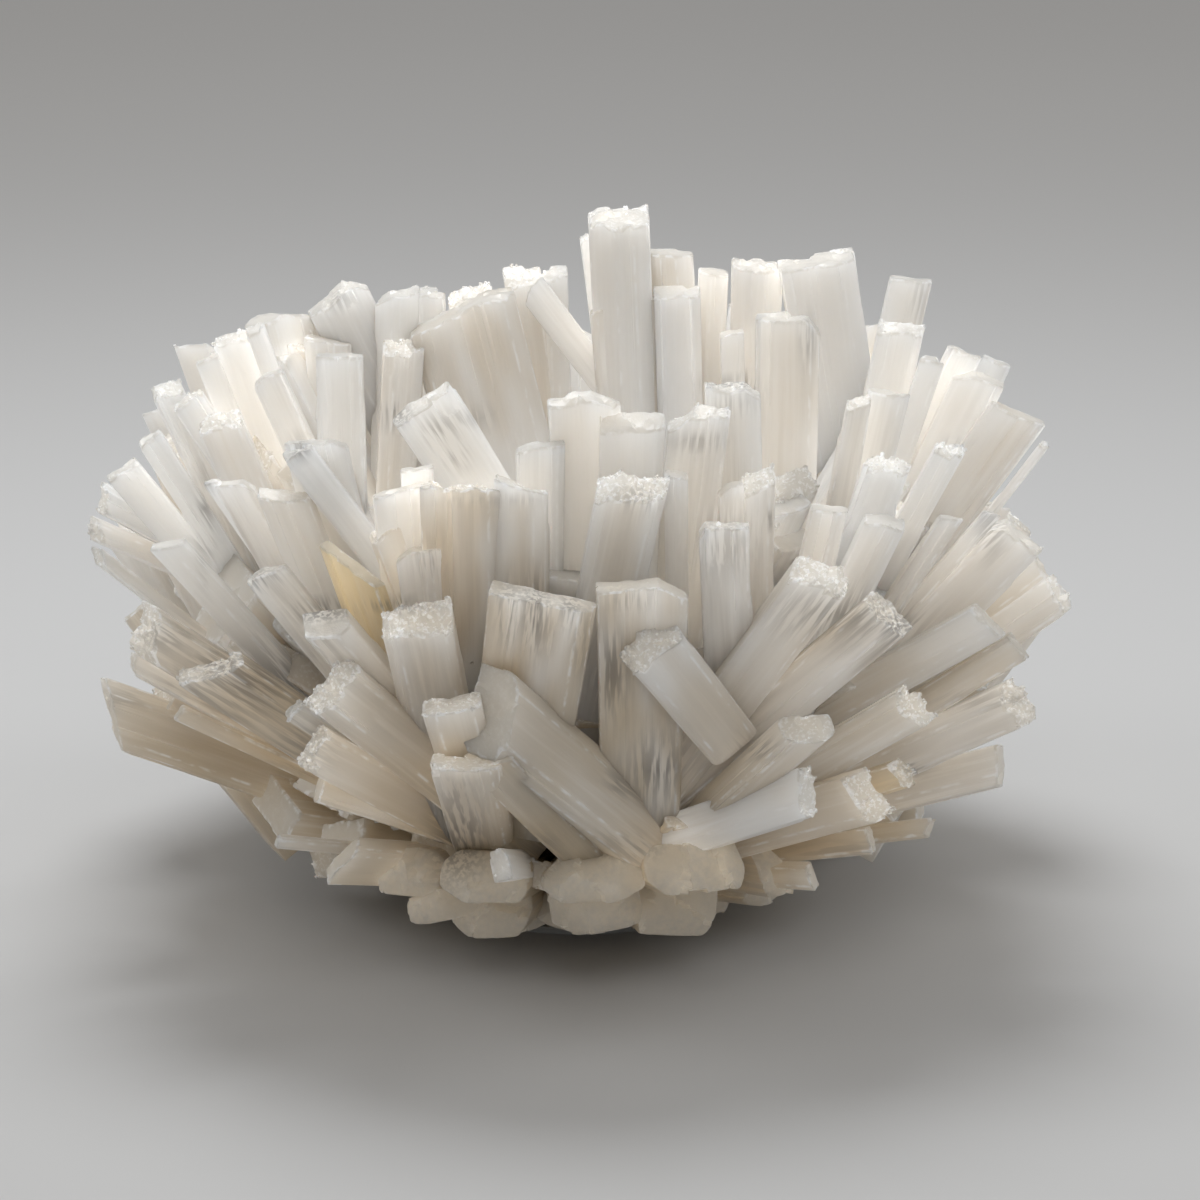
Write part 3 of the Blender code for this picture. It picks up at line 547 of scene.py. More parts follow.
def clear_of(point, others):
    """How far a point is from the nearest blade's middle."""
    nearest = math.inf
    for blade in others:
        along = min(max((point - blade.root).dot(blade.axis), 0), blade.length)
        middle = blade.root + blade.axis * along + blade.depth * blade.thick / 2
        nearest = min(nearest, (point - middle).length)
    return nearest


def infill_blades(courses, clearance, others, draws):
    """Short blades where the others leave a gap."""
    added = []
    for course in courses:
        radius = envelope_radius(course.height, course.inset)
        count = round(math.tau * radius / course.spacing * INFILL_TRIES)
        for i in range(count):
            blade = course_blade(course, math.tau * i / count, draws)
            if clear_of(blade.tip, others + added) > clearance:
                added.append(blade)
    return added


blades += back_blades(draws)
blades += infill_blades(INFILL_COURSES, INFILL_CLEARANCE, blades, draws)
solid_count = len(blades)
print(solid_count, "blades in the solids")

# %% [markdown]
# Between the tips one looks in on more blades, packed side by side. They are shorter still,
# too small to matter in the solids, and without them the bowl would look hollow.

# %% Fillers deep in the gaps
FILLER_COURSES = [
    Course(0.014, 0.030, 0.030, 0.030, 0.012),
    Course(0.040, 0.026, 0.022, 0.026, 0.012),
    Course(0.065, 0.026, 0.030, 0.028, 0.012),
    Course(0.090, 0.026, 0.034, 0.028, 0.012),
    Course(0.115, 0.026, 0.038, 0.029, 0.012),
    Course(0.140, 0.026, 0.040, 0.029, 0.012),
    Course(0.165, 0.026, 0.040, 0.029, 0.012),
    Course(0.190, 0.026, 0.038, 0.027, 0.012),
    Course(0.212, 0.026, 0.036, 0.025, 0.011),
]
FILLER_CLEARANCE = 0.0140
FRONT_PULL = 0.025


def pull_back(blade, distance):
    """The blade with its tip drawn back along its axis."""
    blade.tip = blade.tip - blade.axis * distance
    blade.length -= distance


fillers = infill_blades(FILLER_COURSES, FILLER_CLEARANCE, blades, draws)
for blade in fillers:
    pull_back(blade, FRONT_PULL * max(0, -blade.tip.y) / ENVELOPE_RADIUS)
blades += fillers
print(len(blades) - solid_count, "fillers")

# %% [markdown]
# ## Which solid each blade stands for
# The solids are bunches of blades, fused where blades cross. A blade belongs to the bunch that
# holds its outer end. To find it, a few points inside the blade are tested against each solid:
# a point is inside when a ray from it leaves the surface an odd number of times.

# %% Owners
RAY_DIRECTION = Vector((0.291, 0.541, 0.789)).normalized()
RAY_SKIP = 0.00001
TEST_PARTS = (0.92, 0.84, 0.75, 0.65, 0.96)


def surface_of(node):
    """A solid's surface, ready for rays."""
    corners = [vertex.co.copy() for vertex in node.data.vertices]
    faces = [tuple(face.vertices) for face in node.data.polygons]
    return BVHTree.FromPolygons(corners, faces)


def is_inside(point, surface):
    """Whether a point lies inside a closed surface."""
    hits = 0
    while True:
        spot, _, _, _ = surface.ray_cast(point, RAY_DIRECTION)
        if spot is None:
            return hits % 2 == 1
        hits += 1
        point = spot + RAY_DIRECTION * RAY_SKIP


surfaces = {name: surface_of(node) for name, node in nodes.items() if name != "base_disc"}


def core_point(blade, part):
    """A point in the middle of the blade, part of the way to its tip."""
    return blade.root.lerp(blade.tip, part) + blade.depth * blade.thick / 2


def owner_of(blade, parts):
    """The solid that holds the blade's outer end, or else the nearest one."""
    for part in parts:
        point = core_point(blade, part)
        for name, surface in surfaces.items():
            if is_inside(point, surface):
                return name
    point = core_point(blade, parts[0])
    return min(surfaces, key=lambda name: surfaces[name].find_nearest(point)[3])


for i, blade in enumerate(blades):
    blade.owner = owner_of(blade, TEST_PARTS if i < solid_count else TEST_PARTS[:2])
    blade.open_root = first_lying <= i < front_count
bunches = {name: [i for i, blade in enumerate(blades) if blade.owner == name] for name in surfaces}
print("solids without a blade:", [name for name, members in bunches.items() if not members])

# %% [markdown]
# In the solids every blade runs in to the middle. On the real bowl the higher courses are
# shorter blades that stand steeper, with their roots hidden behind the course below, so that
# no gap is deep. Each root is brought nearer to its tip here: along its ray for a blade set out
# from the front, so that its place in that view stays, and level for the others.

# %% Steeper blades
STEEPER = 0.55
STEEPER_FROM = 0.045
STEEPER_SPAN = 0.060
ROOT_CLEAR = 0.034
LEAST_AXIS_RISE = 0.034
KEPT_ROOTS = (187, 188)
FIRST_FAR = first_lying - len(FAR_BLADES)
FAR_ROOT_V = 640
FAR_ROOT_IN = 0.75
TURN_SHARES = (1, 0.75, 0.5, 0.25)
TURN_LEVEL = 0.62


def redirect(blade, root):
    """The blade with another root, its tip's edge where it was."""
    edge = blade.across * blade.width + blade.axis * blade.slope * blade.width
    old_width = blade.width
    blade.root = root
    blade.axis = (blade.tip - root).normalized()
    blade.length = (blade.tip - root).length
    along = edge.dot(blade.axis)
    blade.across = edge - blade.axis * along
    blade.width = blade.across.length
    blade.across.normalize()
    blade.slope = along / blade.width
    blade.depth = blade.axis.cross(blade.across)
    if (blade.depth.dot(FORWARD) < 0) != (blade.axis.dot(FORWARD) < 0):
        blade.depth.negate()
    blade.outline = [(x * blade.width / old_width, y) for x, y in blade.outline]


print("the steeper part takes up to", STEEPER, "of the way to the tip")

# %% [markdown]
# Where the root goes depends on how the blade was set out. One from the front moves along its
# ray and is then turned about its tip, until the blade runs as its row says. The turn is taken in
# full only where the new root stays inside the bowl and clear of the floor, or else in part.

# %% Where the new root goes
def steeper_root(blade, from_front):
    """The root nearer to the tip: along its ray, or level for a blade not set from the front."""
    rise = min(1, max(0, (blade.tip.z - STEEPER_FROM) / STEEPER_SPAN))
    share = STEEPER * rise * rise * (3 - 2 * rise)
    if not from_front:
        level = Vector((blade.tip.x, blade.tip.y, blade.root.z))
        return blade.root.lerp(level, share)
    far = (blade.root - EYE).dot(FORWARD)
    near = (blade.tip - EYE).dot(FORWARD)
    return EYE + (blade.root - EYE) * (1 + share * min(0, near - far) / far)


def turned_root(blade, row):
    """The root turned about the tip in the front view, so that the blade runs as it does there."""
    tip = np.array(tip_middle(row))
    run = np.array([row.toward_u, row.toward_v]) - tip
    u, v = seen_at(np.array([blade.root]))
    reach = math.hypot(u[0] - tip[0], v[0] - tip[1])
    far = (blade.root - EYE).dot(FORWARD) / VIEW_DISTANCE
    if isinstance(row, Far):
        reach = (FAR_ROOT_V - tip[1]) * np.linalg.norm(run) / run[1]
    spot = tip + run / np.linalg.norm(run) * reach
    ray = sight(*spot)
    if isinstance(row, Far):
        far = (FAR_ROOT_IN * blade.tip.y - EYE.y) / ray.y
    for share in TURN_SHARES:
        root = blade.root.lerp(EYE + ray * far, share)
        if envelope_level(root) < TURN_LEVEL and root.z > ROOT_CLEAR:
            return root
    return blade.root

# %% [markdown]
# All blades of the solids are now gone through. Those that lie across the others keep their
# roots, which show. A root that is still too low is moved up its own axis, so that it doesn't
# hang below the bowl.

# %% Move the roots
for i, blade in enumerate(blades[:solid_count]):
    if i in KEPT_ROOTS or blade.open_root:
        continue
    if not FIRST_FAR <= i < first_lying:
        redirect(blade, steeper_root(blade, i < first_lying))
    if len(FOOT_STONES) <= i < first_lying:
        redirect(blade, turned_root(blade, rows[i]))
    lift = max(0, ROOT_CLEAR - blade.root.z) / max(blade.axis.z, LEAST_AXIS_RISE)
    if lift and blade.tip.z > 2 * ROOT_CLEAR:
        blade.root = blade.root + blade.axis * lift
        blade.length -= lift
mean_length = sum(blade.length for blade in blades[:solid_count]) / solid_count
print("mean length", round(mean_length, 3), "m")

# %% [markdown]
# In the solids the blades stand a little apart. Here each grows by 12% across its fibres, which
# closes the slits between neighbours, as glue and splinters do on the real bowl. The blades that
# lie across the others, and the fillers, keep their width.

# %% Close the slits
WIDEN = 1.12


def widen(blade, share):
    """The blade with its outline drawn out sideways about its middle."""
    blade.outline = [(x * share, y) for x, y in blade.outline]
    blade.width *= share


for blade in blades[:solid_count]:
    if not blade.open_root:
        widen(blade, WIDEN)
widest = max(blade.width for blade in blades)
print("widest blade", round(widest * 1000, 1), "mm")

# %% [markdown]
# Rules leave a few blades in the wrong place, and those are put right by number. One short
# blade in front is wider than what shows there, the big slab starts further to the left, and
# some short blades have to come out to close the foot. A minus in PULLED draws a tip outward.

# %% Corrections one by one
WIDENED = {187: 0.5, 119: 1.35, 120: 1.3}
SLAB = 119
SLAB_SHIFT = RIGHT * -0.017 + UPWARD * 0.004
SLAB_FORWARD = 0.013
PULLED = {
    187: 0.11, 212: -0.02, 213: -0.038, 214: -0.032, 215: -0.016, 216: -0.014, 217: -0.02,
    263: -0.014, 315: 0.035,
}
for i, share in WIDENED.items():
    widen(blades[i], share)
blades[SLAB].tip = blades[SLAB].tip + SLAB_SHIFT - FORWARD * SLAB_FORWARD
redirect(blades[SLAB], blades[SLAB].root - FORWARD * SLAB_FORWARD)
for i, distance in PULLED.items():
    pull_back(blades[i], distance)
print(len(set(WIDENED) | set(PULLED)), "blades corrected by hand")

# %% [markdown]
# ## How one blade looks
# Every blade has its own look: how grey it is with clay, how warm, how much sheen is painted on it, and
# how crumbly its broken end is. Most are drawn at random, with powers that make strong greys and
# crumbly ends rare. Those that stand out in front are set one by one, by their number in the tables.

# %% Looks
Look = namedtuple("Look", "grey warm silk crumble")
LOOKS = {
    9: (0.10, 0.25, 0.4, 0.3), 10: (0.55, 0.20, 0.2, 0.8), 11: (0.40, 0.25, 0.2, 0.5),
    12: (0.95, 0.30, 0.1, 0.6), 14: (0.60, 0.35, 0.2, 0.1), 15: (0.30, 0.20, 0.3, 1.0),
    17: (0.10, 0.20, 0.3, 0.9), 18: (0.00, 1.60, 0.2, 0.1), 19: (0.45, 0.45, 0.2, 1.0),
    22: (0.00, 0.05, 0.7, 0.2), 24: (0.25, 0.00, 1.0, 0.9), 25: (0.15, 0.15, 0.7, 1.0),
    26: (0.20, 0.05, 0.9, 0.3), 27: (0.50, 1.00, 0.1, 1.0), 28: (0.00, 0.05, 0.6, 1.0),
    29: (0.00, 0.00, 1.6, 0.8), 30: (0.05, 0.00, 0.4, 0.6), 34: (0.00, 0.00, 0.6, 0.8),
    35: (0.00, 0.00, 0.6, 0.5), 36: (0.00, 0.00, 0.7, 0.4), 37: (0.00, 0.00, 0.8, 0.8),
    38: (0.00, 0.00, 1.5, 0.6), 39: (0.00, 0.00, 0.7, 0.3), 40: (0.00, 0.00, 0.8, 0.6),
    41: (0.00, 0.00, 0.9, 0.5), 44: (0.90, 0.20, 0.1, 0.3), 46: (0.10, 0.35, 0.2, 0.4),
    47: (0.20, 0.00, 1.5, 0.4), 49: (0.05, 0.20, 0.3, 0.8), 54: (0.90, 0.20, 0.2, 0.4),
    55: (0.25, 0.70, 0.1, 0.7), 56: (0.30, 0.60, 0.1, 0.5), 60: (0.00, 0.25, 0.3, 0.4),
    61: (0.05, 0.00, 0.4, 0.3), 62: (0.20, 0.35, 0.3, 1.0), 63: (0.00, 0.00, 0.5, 0.3),
    64: (0.25, 0.15, 0.3, 0.6), 65: (0.30, 0.25, 0.3, 0.5), 66: (0.10, 0.30, 0.4, 0.3),
    67: (0.35, 0.80, 0.0, 0.1), 68: (0.30, 0.70, 0.0, 0.1), 69: (0.25, 0.40, 0.2, 0.4),
    70: (0.10, 0.30, 0.2, 0.8), 71: (0.10, 0.10, 0.4, 0.6), 72: (0.00, 0.00, 1.7, 0.4),
    74: (0.50, 0.25, 0.2, 0.5), 80: (0.15, 0.00, 0.8, 0.3), 89: (0.70, 0.10, 0.2, 0.3),
    97: (0.15, 0.30, 0.3, 1.0), 98: (1.20, 0.50, 0.1, 0.7), 99: (0.20, 0.10, 0.4, 0.5),
    100: (0.35, 0.50, 0.5, 1.0), 102: (0.00, 0.00, 0.6, 0.4), 106: (0.10, 0.45, 0.1, 0.2),
    109: (0.05, 0.15, 0.4, 0.6), 111: (0.00, 0.40, 0.1, 0.3), 113: (0.00, 0.00, 1.2, 0.4),
    116: (0.00, 0.05, 0.5, 0.2), 118: (0.15, 0.45, 0.1, 0.9), 119: (0.15, 0.10, 0.5, 0.3),
    120: (0.00, 0.00, 1.7, 0.5), 121: (0.15, 0.05, 0.4, 0.2),
}
GREY_MOST = 0.5
WARM_RANGE = (0.0, 0.35)
SHEEN_RANGE = (0.15, 0.7)
TASTE_SEED = SEED + 5

tastes = random.Random(TASTE_SEED)
for i, blade in enumerate(blades):
    drawn = (
        tastes.random() ** 3 * GREY_MOST,
        tastes.uniform(*WARM_RANGE),
        tastes.uniform(*SHEEN_RANGE),
        tastes.random() ** 2,
    )
    blade.look = Look(*LOOKS.get(i, drawn))
print(len(LOOKS), "looks set by hand")

# %% [markdown]
# Most blades broke aslant, so from the front only a narrow band of the broken end shows, and
# the crumbly ones show more. The slant is worked out from the band that should show. The
# stones of the foot are lumps instead: their outlines have cut corners and their ends bulge.

# %% Slant of the ends
BAND = (0.12, 0.34)
BAND_CRUMBLY = 0.55
BAND_BY_HAND = {
    10: 0.8, 14: 0.7, 15: 0.8, 19: 0.85, 25: 0.8, 28: 1.0, 55: 0.1, 56: 0.1, 61: 1.1, 62: 0.9,
    67: 0.45, 68: 0.35, 69: 0.5, 70: 0.3, 71: 0.05, 97: 0.8, 118: 0.9, 119: 0.9,
}
SLANT_LIMIT = (-0.5, 0.95)
FOOT_HEIGHT = 0.035
FOOT_SLANT = -0.35
FOOT_BULGE = 0.5
FOOT_SWELL = 1.6
FOOT_GREY = 1.0
FOOT_WARM = 0.6
FOOT_CRUMBLE = 0.2
FOOT_CUT_SIDE = (0.06, 0.30)
FOOT_CUT_UP = (0.18, 0.45)
LEAST_SEEN = 0.15


def slant_for(blade, band):
    """The slant at which the front view shows a band of the end, as a share of the thickness."""
    axis = np.array([blade.axis.dot(RIGHT), blade.axis.dot(UPWARD)])
    depth = np.array([blade.depth.dot(RIGHT), blade.depth.dot(UPWARD)])
    seen = max(np.linalg.norm(axis), LEAST_SEEN)
    return float(np.clip((-band - depth @ axis / seen) / seen, *SLANT_LIMIT))


def lump(blade, swell, draws):
    """Give a stone a bulging end and a thicker outline with cut corners."""
    half, thick = blade.width / 2, blade.thick
    across = [draws.uniform(*FOOT_CUT_SIDE) * blade.width for _ in range(4)]
    up = [draws.uniform(*FOOT_CUT_UP) * thick for _ in range(4)]
    blade.outline = [
        (-half + across[0], 0), (half - across[1], 0), (half, up[0]), (half, thick - up[1]),
        (half - across[2], thick), (-half + across[3], thick), (-half, thick - up[2]), (-half, up[3]),
    ]
    blade.outline = [(x, thick / 2 + (y - thick / 2) * swell) for x, y in blade.outline]
    blade.lean = FOOT_SLANT
    blade.bulge = FOOT_BULGE
    blade.look = blade.look._replace(grey=FOOT_GREY, warm=FOOT_WARM, silk=0, crumble=FOOT_CRUMBLE)


for i, blade in enumerate(blades):
    blade.bulge = 0
    band = tastes.uniform(*BAND) + BAND_CRUMBLY * blade.look.crumble ** 2
    if i < len(FOOT_STONES) or blade.tip.z < FOOT_HEIGHT:
        lump(blade, FOOT_SWELL if i < len(FOOT_STONES) else 1, tastes)
    elif blade.axis.dot(FORWARD) < 0:
        blade.lean = slant_for(blade, BAND_BY_HAND.get(i, band))
print("mean slant", round(sum(blade.lean for blade in blades) / len(blades), 2))

# %% [markdown]
# ## Dark veins
# Here and there the spar holds dark clay between its fibres. Each vein is an oval in the front
# view, with its strength. It only says where the clay is: the material breaks it up into
# streaks along the fibres. Painting the streaks themselves would need far more points.

# %% Veins
Vein = namedtuple("Vein", "u v half_u half_v strength")
VEINS = [Vein(*row) for row in (
    (508, 612, 10, 26, 0.9), (535, 615, 14, 32, 1.0), (570, 607, 9, 20, 0.8),
    (580, 640, 8, 40, 0.5), (612, 672, 14, 36, 0.9), (628, 600, 20, 10, 0.5),
    (660, 770, 24, 26, 1.0), (626, 785, 14, 10, 0.9), (626, 847, 24, 11, 0.8),
    (458, 838, 22, 34, 1.0), (455, 800, 18, 20, 0.5), (545, 850, 16, 13, 0.7),
    (250, 680, 60, 34, 0.8), (218, 662, 20, 12, 1.0), (300, 745, 30, 30, 0.5),
    (170, 635, 34, 16, 0.6), (195, 690, 40, 14, 0.5), (122, 700, 24, 10, 0.4),
    (320, 612, 24, 8, 1.0), (400, 606, 30, 5, 0.9), (205, 520, 7, 45, 0.8),
    (262, 582, 16, 12, 0.8), (300, 450, 8, 10, 0.8), (395, 415, 14, 9, 0.9),
    (440, 430, 16, 14, 0.6), (455, 455, 12, 12, 0.5), (724, 545, 26, 30, 0.5),
    (642, 498, 20, 12, 0.6), (738, 384, 26, 4, 0.9), (700, 442, 22, 8, 0.6),
    (733, 405, 18, 10, 0.4), (808, 340, 7, 22, 0.6), (768, 520, 8, 8, 0.8),
    (845, 615, 60, 20, 0.7), (896, 625, 22, 14, 0.9), (990, 530, 14, 26, 0.6),
    (980, 700, 40, 10, 0.4), (760, 750, 18, 10, 0.7), (915, 768, 10, 7, 1.0),
    (870, 852, 60, 8, 0.5), (672, 815, 6, 6, 1.0), (88, 528, 5, 6, 1.0),
    (920, 300, 8, 26, 0.3), (340, 300, 12, 10, 0.5), (470, 418, 24, 10, 0.4),
    (430, 560, 14, 20, 0.4), (480, 500, 34, 5, 0.35), (520, 500, 24, 6, 0.3),
    (640, 400, 20, 4, 0.4), (955, 445, 12, 4, 0.5), (1010, 700, 20, 6, 0.6),
)]
print(len(VEINS), "veins")

# %% [markdown]
# ## The mesh of a blade
# A blade of spar splits into laths along its fibres, so its sides are full of long shallow
# steps, and where a lath ends early the blade looks splintered. The section is therefore a
# ring of points with a sharp step at each lath's edge. A plain box with bump would give
# neither the outline nor the ledges.

# %% Points round a section
LATH_WIDTH = 0.0062
LEAST_LATHS = 5
STOP_GRID = 0.0002
CORNER_ROUND = 0.0009
CORNER_SOFT = 0.0004
CORE_REACH = 0.45


def toward_core(points, blade):
    """Directions from points round the section toward its middle line."""
    reach = min(blade.width, blade.thick) * CORE_REACH
    core_x = np.clip(points[:, 0], reach - blade.width / 2, blade.width / 2 - reach)
    core_y = np.clip(points[:, 1], reach, blade.thick - reach)
    away = np.stack([core_x, core_y], axis=1) - points
    return away / np.linalg.norm(away, axis=1)[:, None]


def section(blade, spacing, rng):
    """Points round the blade, their directions inward, their laths, and how near a corner."""
    corners = np.array(blade.outline)
    sides = np.roll(corners, -1, axis=0) - corners
    lengths = np.linalg.norm(sides, axis=1)
    starts = np.concatenate([[0], np.cumsum(lengths)])
    total = starts[-1]
    breaks = np.sort(rng.uniform(0, total, max(LEAST_LATHS, round(total / LATH_WIDTH))))
    stops = [starts[:-1], starts[:-1] + CORNER_ROUND, starts[1:] - CORNER_ROUND]
    stops += [breaks - STOP_GRID, breaks + STOP_GRID, np.arange(0, total, spacing)]
    stops = np.unique(np.round((np.concatenate(stops) % total) / STOP_GRID)) * STOP_GRID
    stops = stops[stops < total - STOP_GRID / 2]
    side = np.clip(np.searchsorted(starts, stops, side="right") - 1, 0, len(corners) - 1)
    points = corners[side] + sides[side] * ((stops - starts[side]) / lengths[side])[:, None]
    inward = toward_core(points, blade)
    corner_gap = np.abs(stops[:, None] - starts[None, :]).min(axis=1)
    near_corner = np.exp(-(corner_gap / CORNER_ROUND) ** 2)
    return SimpleNamespace(
        points=points + inward * (near_corner * CORNER_SOFT)[:, None],
        inward=inward,
        laths=np.searchsorted(breaks, stops) % len(breaks),
        lath_count=len(breaks),
        near_corner=near_corner,
    )


trial = section(blades[0], LATH_WIDTH, np.random.default_rng(SEED))
print("the first stone has", trial.lath_count, "laths and", len(trial.points), "points round it")

# %% [markdown]
# Fibrous gypsum doesn't break flat. Its end is a patchwork of little steps, each with its own
# height and tilt, and often one corner is chipped off. A function gives the height of that
# surface anywhere on the end, so that the rim and the points inside it always agree. A stone
# of the foot has few, large facets on a bulge instead.

# %% The broken end
STEP_CELL = 0.0060
LEAST_STEPS = 3
STEP_HEIGHT = 0.0005
STEP_HEIGHT_CRUMBLY = 0.0018
STEP_RANGE = (-1, 0.15)
STEP_TILT = 0.06
STEP_TILT_CRUMBLY = 0.14
STEP_TILT_STONE = 0.4
STONE_FACETS = 5
CHIP = (0.06, 0.30)
CHIP_FROM = (0.05, 0.38)


def broken_end(blade, rng):
    """A function that gives the height of the broken end over points of the section."""
    crumble = blade.look.crumble
    step = STEP_HEIGHT + STEP_HEIGHT_CRUMBLY * crumble
    count = LEAST_STEPS + round(blade.width * blade.thick / STEP_CELL ** 2)
    if blade.bulge:
        count = STONE_FACETS
    middles = rng.uniform((-blade.width / 2, 0), (blade.width / 2, blade.thick), (count, 2))
    heights = rng.uniform(*STEP_RANGE, count) * step
    tilt = STEP_TILT + STEP_TILT_CRUMBLY * crumble + STEP_TILT_STONE * blade.bulge
    tilts = rng.normal(0, tilt, (count, 2))

    chip_side = rng.choice((-1, 1))
    chip = rng.choice((0, rng.uniform(*CHIP))) * blade.width
    chip_from = rng.uniform(*CHIP_FROM) * blade.width

    def height(points):
        gaps = points[:, None, :] - middles[None, :, :]
        cell = (gaps ** 2).sum(axis=2).argmin(axis=1)
        run = gaps[np.arange(len(points)), cell]
        off_x = 2 * points[:, 0] / blade.width
        off_y = 2 * points[:, 1] / blade.thick - 1
        bulge = blade.bulge * (off_x ** 2 * blade.width + off_y ** 2 * blade.thick) / 4
        return (
            points @ np.array([blade.slope, blade.lean])
            + heights[cell] + (run * tilts[cell]).sum(axis=1) - bulge
            - chip * np.maximum(0, points[:, 0] * chip_side - chip_from) / (blade.width / 2 - chip_from)
        )
    return height


trial_heights = broken_end(blades[0], np.random.default_rng(SEED))(trial.points)
print("its rim rises and falls by", round(float(np.ptp(trial_heights)) * 1000, 1), "mm")

# %% [markdown]
# The end needs corners inside its rim to carry those steps. Loose points on a jittered grid are
# joined to the rim by a Delaunay triangulation, which leaves no long slivers and no gap at the
# rim. A fan of triangles from the middle would be simpler, but it could only be a cone.

# %% Filling an end
GRID_STRAY = 0.36
RIM_MARGIN = 0.45
CLOSE = 1e-7


def within(points, rim):
    """Which points lie inside a closed line."""
    x, y = points[:, 0][:, None], points[:, 1][:, None]
    ax, ay = rim[:, 0][None, :], rim[:, 1][None, :]
    bx, by = np.roll(rim[:, 0], -1)[None, :], np.roll(rim[:, 1], -1)[None, :]
    spans = (ay > y) != (by > y)
    rise = np.where(by == ay, CLOSE, by - ay)
    left = x < (bx - ax) * (y - ay) / rise + ax
    return (spans & left).sum(axis=1) % 2 == 1


def fill_end(rim, spacing, rng):
    """Points inside a rim, and the triangles that join them to it."""
    low, high = rim.min(axis=0), rim.max(axis=0)
    columns = np.arange(low[0] + spacing / 2, high[0], spacing)
    lines = np.arange(low[1] + spacing / 2, high[1], spacing)
    grid = np.stack(np.meshgrid(columns, lines), axis=-1).reshape(-1, 2)
    grid = grid + rng.uniform(-GRID_STRAY, GRID_STRAY, grid.shape) * spacing
    if len(grid):
        gap = np.linalg.norm(grid[:, None, :] - rim[None, :, :], axis=2).min(axis=1)
        grid = grid[within(grid, rim) & (gap > spacing * RIM_MARGIN)]
    points = [Vector(point) for point in np.concatenate([rim, grid])]
    _, _, faces, came_from, _, _ = delaunay_2d_cdt(points, [], [list(range(len(rim)))], 1, CLOSE)
    if any(not origin for origin in came_from):
        count = len(rim)
        middle = rim.mean(axis=0)[None, :]
        return middle, np.array([(k, (k + 1) % count, count) for k in range(count)])
    source = [origin[0] for origin in came_from]
    return grid, np.array([[source[k] for k in face] for face in faces])


trial_faces = fill_end(trial.points, LATH_WIDTH, np.random.default_rng(SEED))[1]
print(len(trial_faces), "triangles would fill its end on a coarse grid")

# %% [markdown]
# The sections are strung along the axis as rings, close together near the tip, where the blade
# shows, and far apart where it is hidden. Each lath lies at its own depth, and a lath that ended
# early is cut deeper past its end. The slant of the broken end fades out down the blade.

# %% Rings along the blade
RINGS_FRONT = np.array([
    0, 0.15, 0.28, 0.38, 0.47, 0.55, 0.62, 0.68, 0.73, 0.775, 0.815, 0.85, 0.88, 0.905,
    0.928, 0.948, 0.965, 0.979, 0.99, 1,
])
RINGS_BACK = np.array([0, 0.2, 0.4, 0.55, 0.68, 0.78, 0.86, 0.91, 0.945, 0.97, 0.988, 1])
RINGS_FILLER = np.array([0, 0.4, 0.65, 0.82, 0.92, 0.97, 1])
LATH_CUT = 0.00016
MOST_CUT = 0.0010
MOST_OF_THICK = 0.22
EARLY_SHARE = 0.25
EARLY_FROM = 0.72
EARLY_NEVER = 2
EARLY_CUT = (0.0003, 0.0013)
EARLY_CLEAN = 0.5
EARLY_CRUMBLY = 0.7
WAVE = 0.00012
WAVES = 9
RIM_DROP = 0.0006
ROOT_SIZE = 0.9
SLANT_FADE = 6


def lath_depths(blade, around, rng):
    """A function that gives how deep each point lies, part of the way along the blade."""
    count, laths = around.lath_count, around.laths
    cut = np.minimum(rng.exponential(LATH_CUT, count), MOST_CUT)
    is_early = rng.random(count) < EARLY_SHARE
    early = np.where(is_early, rng.uniform(EARLY_FROM, 1, count), EARLY_NEVER)
    extra = rng.uniform(*EARLY_CUT, count) * (EARLY_CLEAN + EARLY_CRUMBLY * blade.look.crumble)
    phases = rng.uniform(0, math.tau, count)

    def sunk(part):
        depth = cut[laths] + np.where(part > early[laths], extra[laths], 0)
        depth += WAVE * np.sin(WAVES * part + phases[laths])
        return np.clip(depth, 0, blade.thick * MOST_OF_THICK)
    return sunk


def side_rings(blade, around, rings, sunk, height):
    """The section at each part of the length in rings, from the root to the tip."""
    middle = np.array([0, blade.thick / 2])
    loops = []
    for part in rings:
        ring = around.points + around.inward * sunk(part)[:, None]
        size = ROOT_SIZE + (1 - ROOT_SIZE) * part
        ring = middle + (ring - middle) * size
        rise = part * blade.length + height(ring) * part ** SLANT_FADE
        loops.append(np.column_stack([ring, rise]))
    loops[-1][:, 2] -= RIM_DROP
    return loops


print("a front blade has", len(RINGS_FRONT), "rings")

# %% [markdown]
# Rings and ends are now joined in one closed mesh. The tip is always a full broken end. A root
# is nearly always hidden among the others and closed with a plain fan. Only the blades that lie
# across the others show theirs.

# %% One closed mesh
RIM_INSET = 0.0005
END_SPACING = 0.8
ROUGH = 0.00005
ROUGH_CRUMBLY = 0.00040
ROOT_BELOW = 0.001


def end_cap(ring, around, spacing, rng):
    """A slightly smaller ring with points inside it, and the triangles between them."""
    rim = ring[:, :2] + around.inward * RIM_INSET
    inner, triangles = fill_end(rim, spacing * END_SPACING, rng)
    return np.concatenate([rim, inner]), triangles


def roughened(flat, rise, blade, rng, sign=1):
    """Corners of an end, with a fine roughness on their heights."""
    rough = ROUGH + ROUGH_CRUMBLY * blade.look.crumble ** 2
    return np.column_stack([flat, rise + rng.normal(0, rough, len(flat)) * sign])


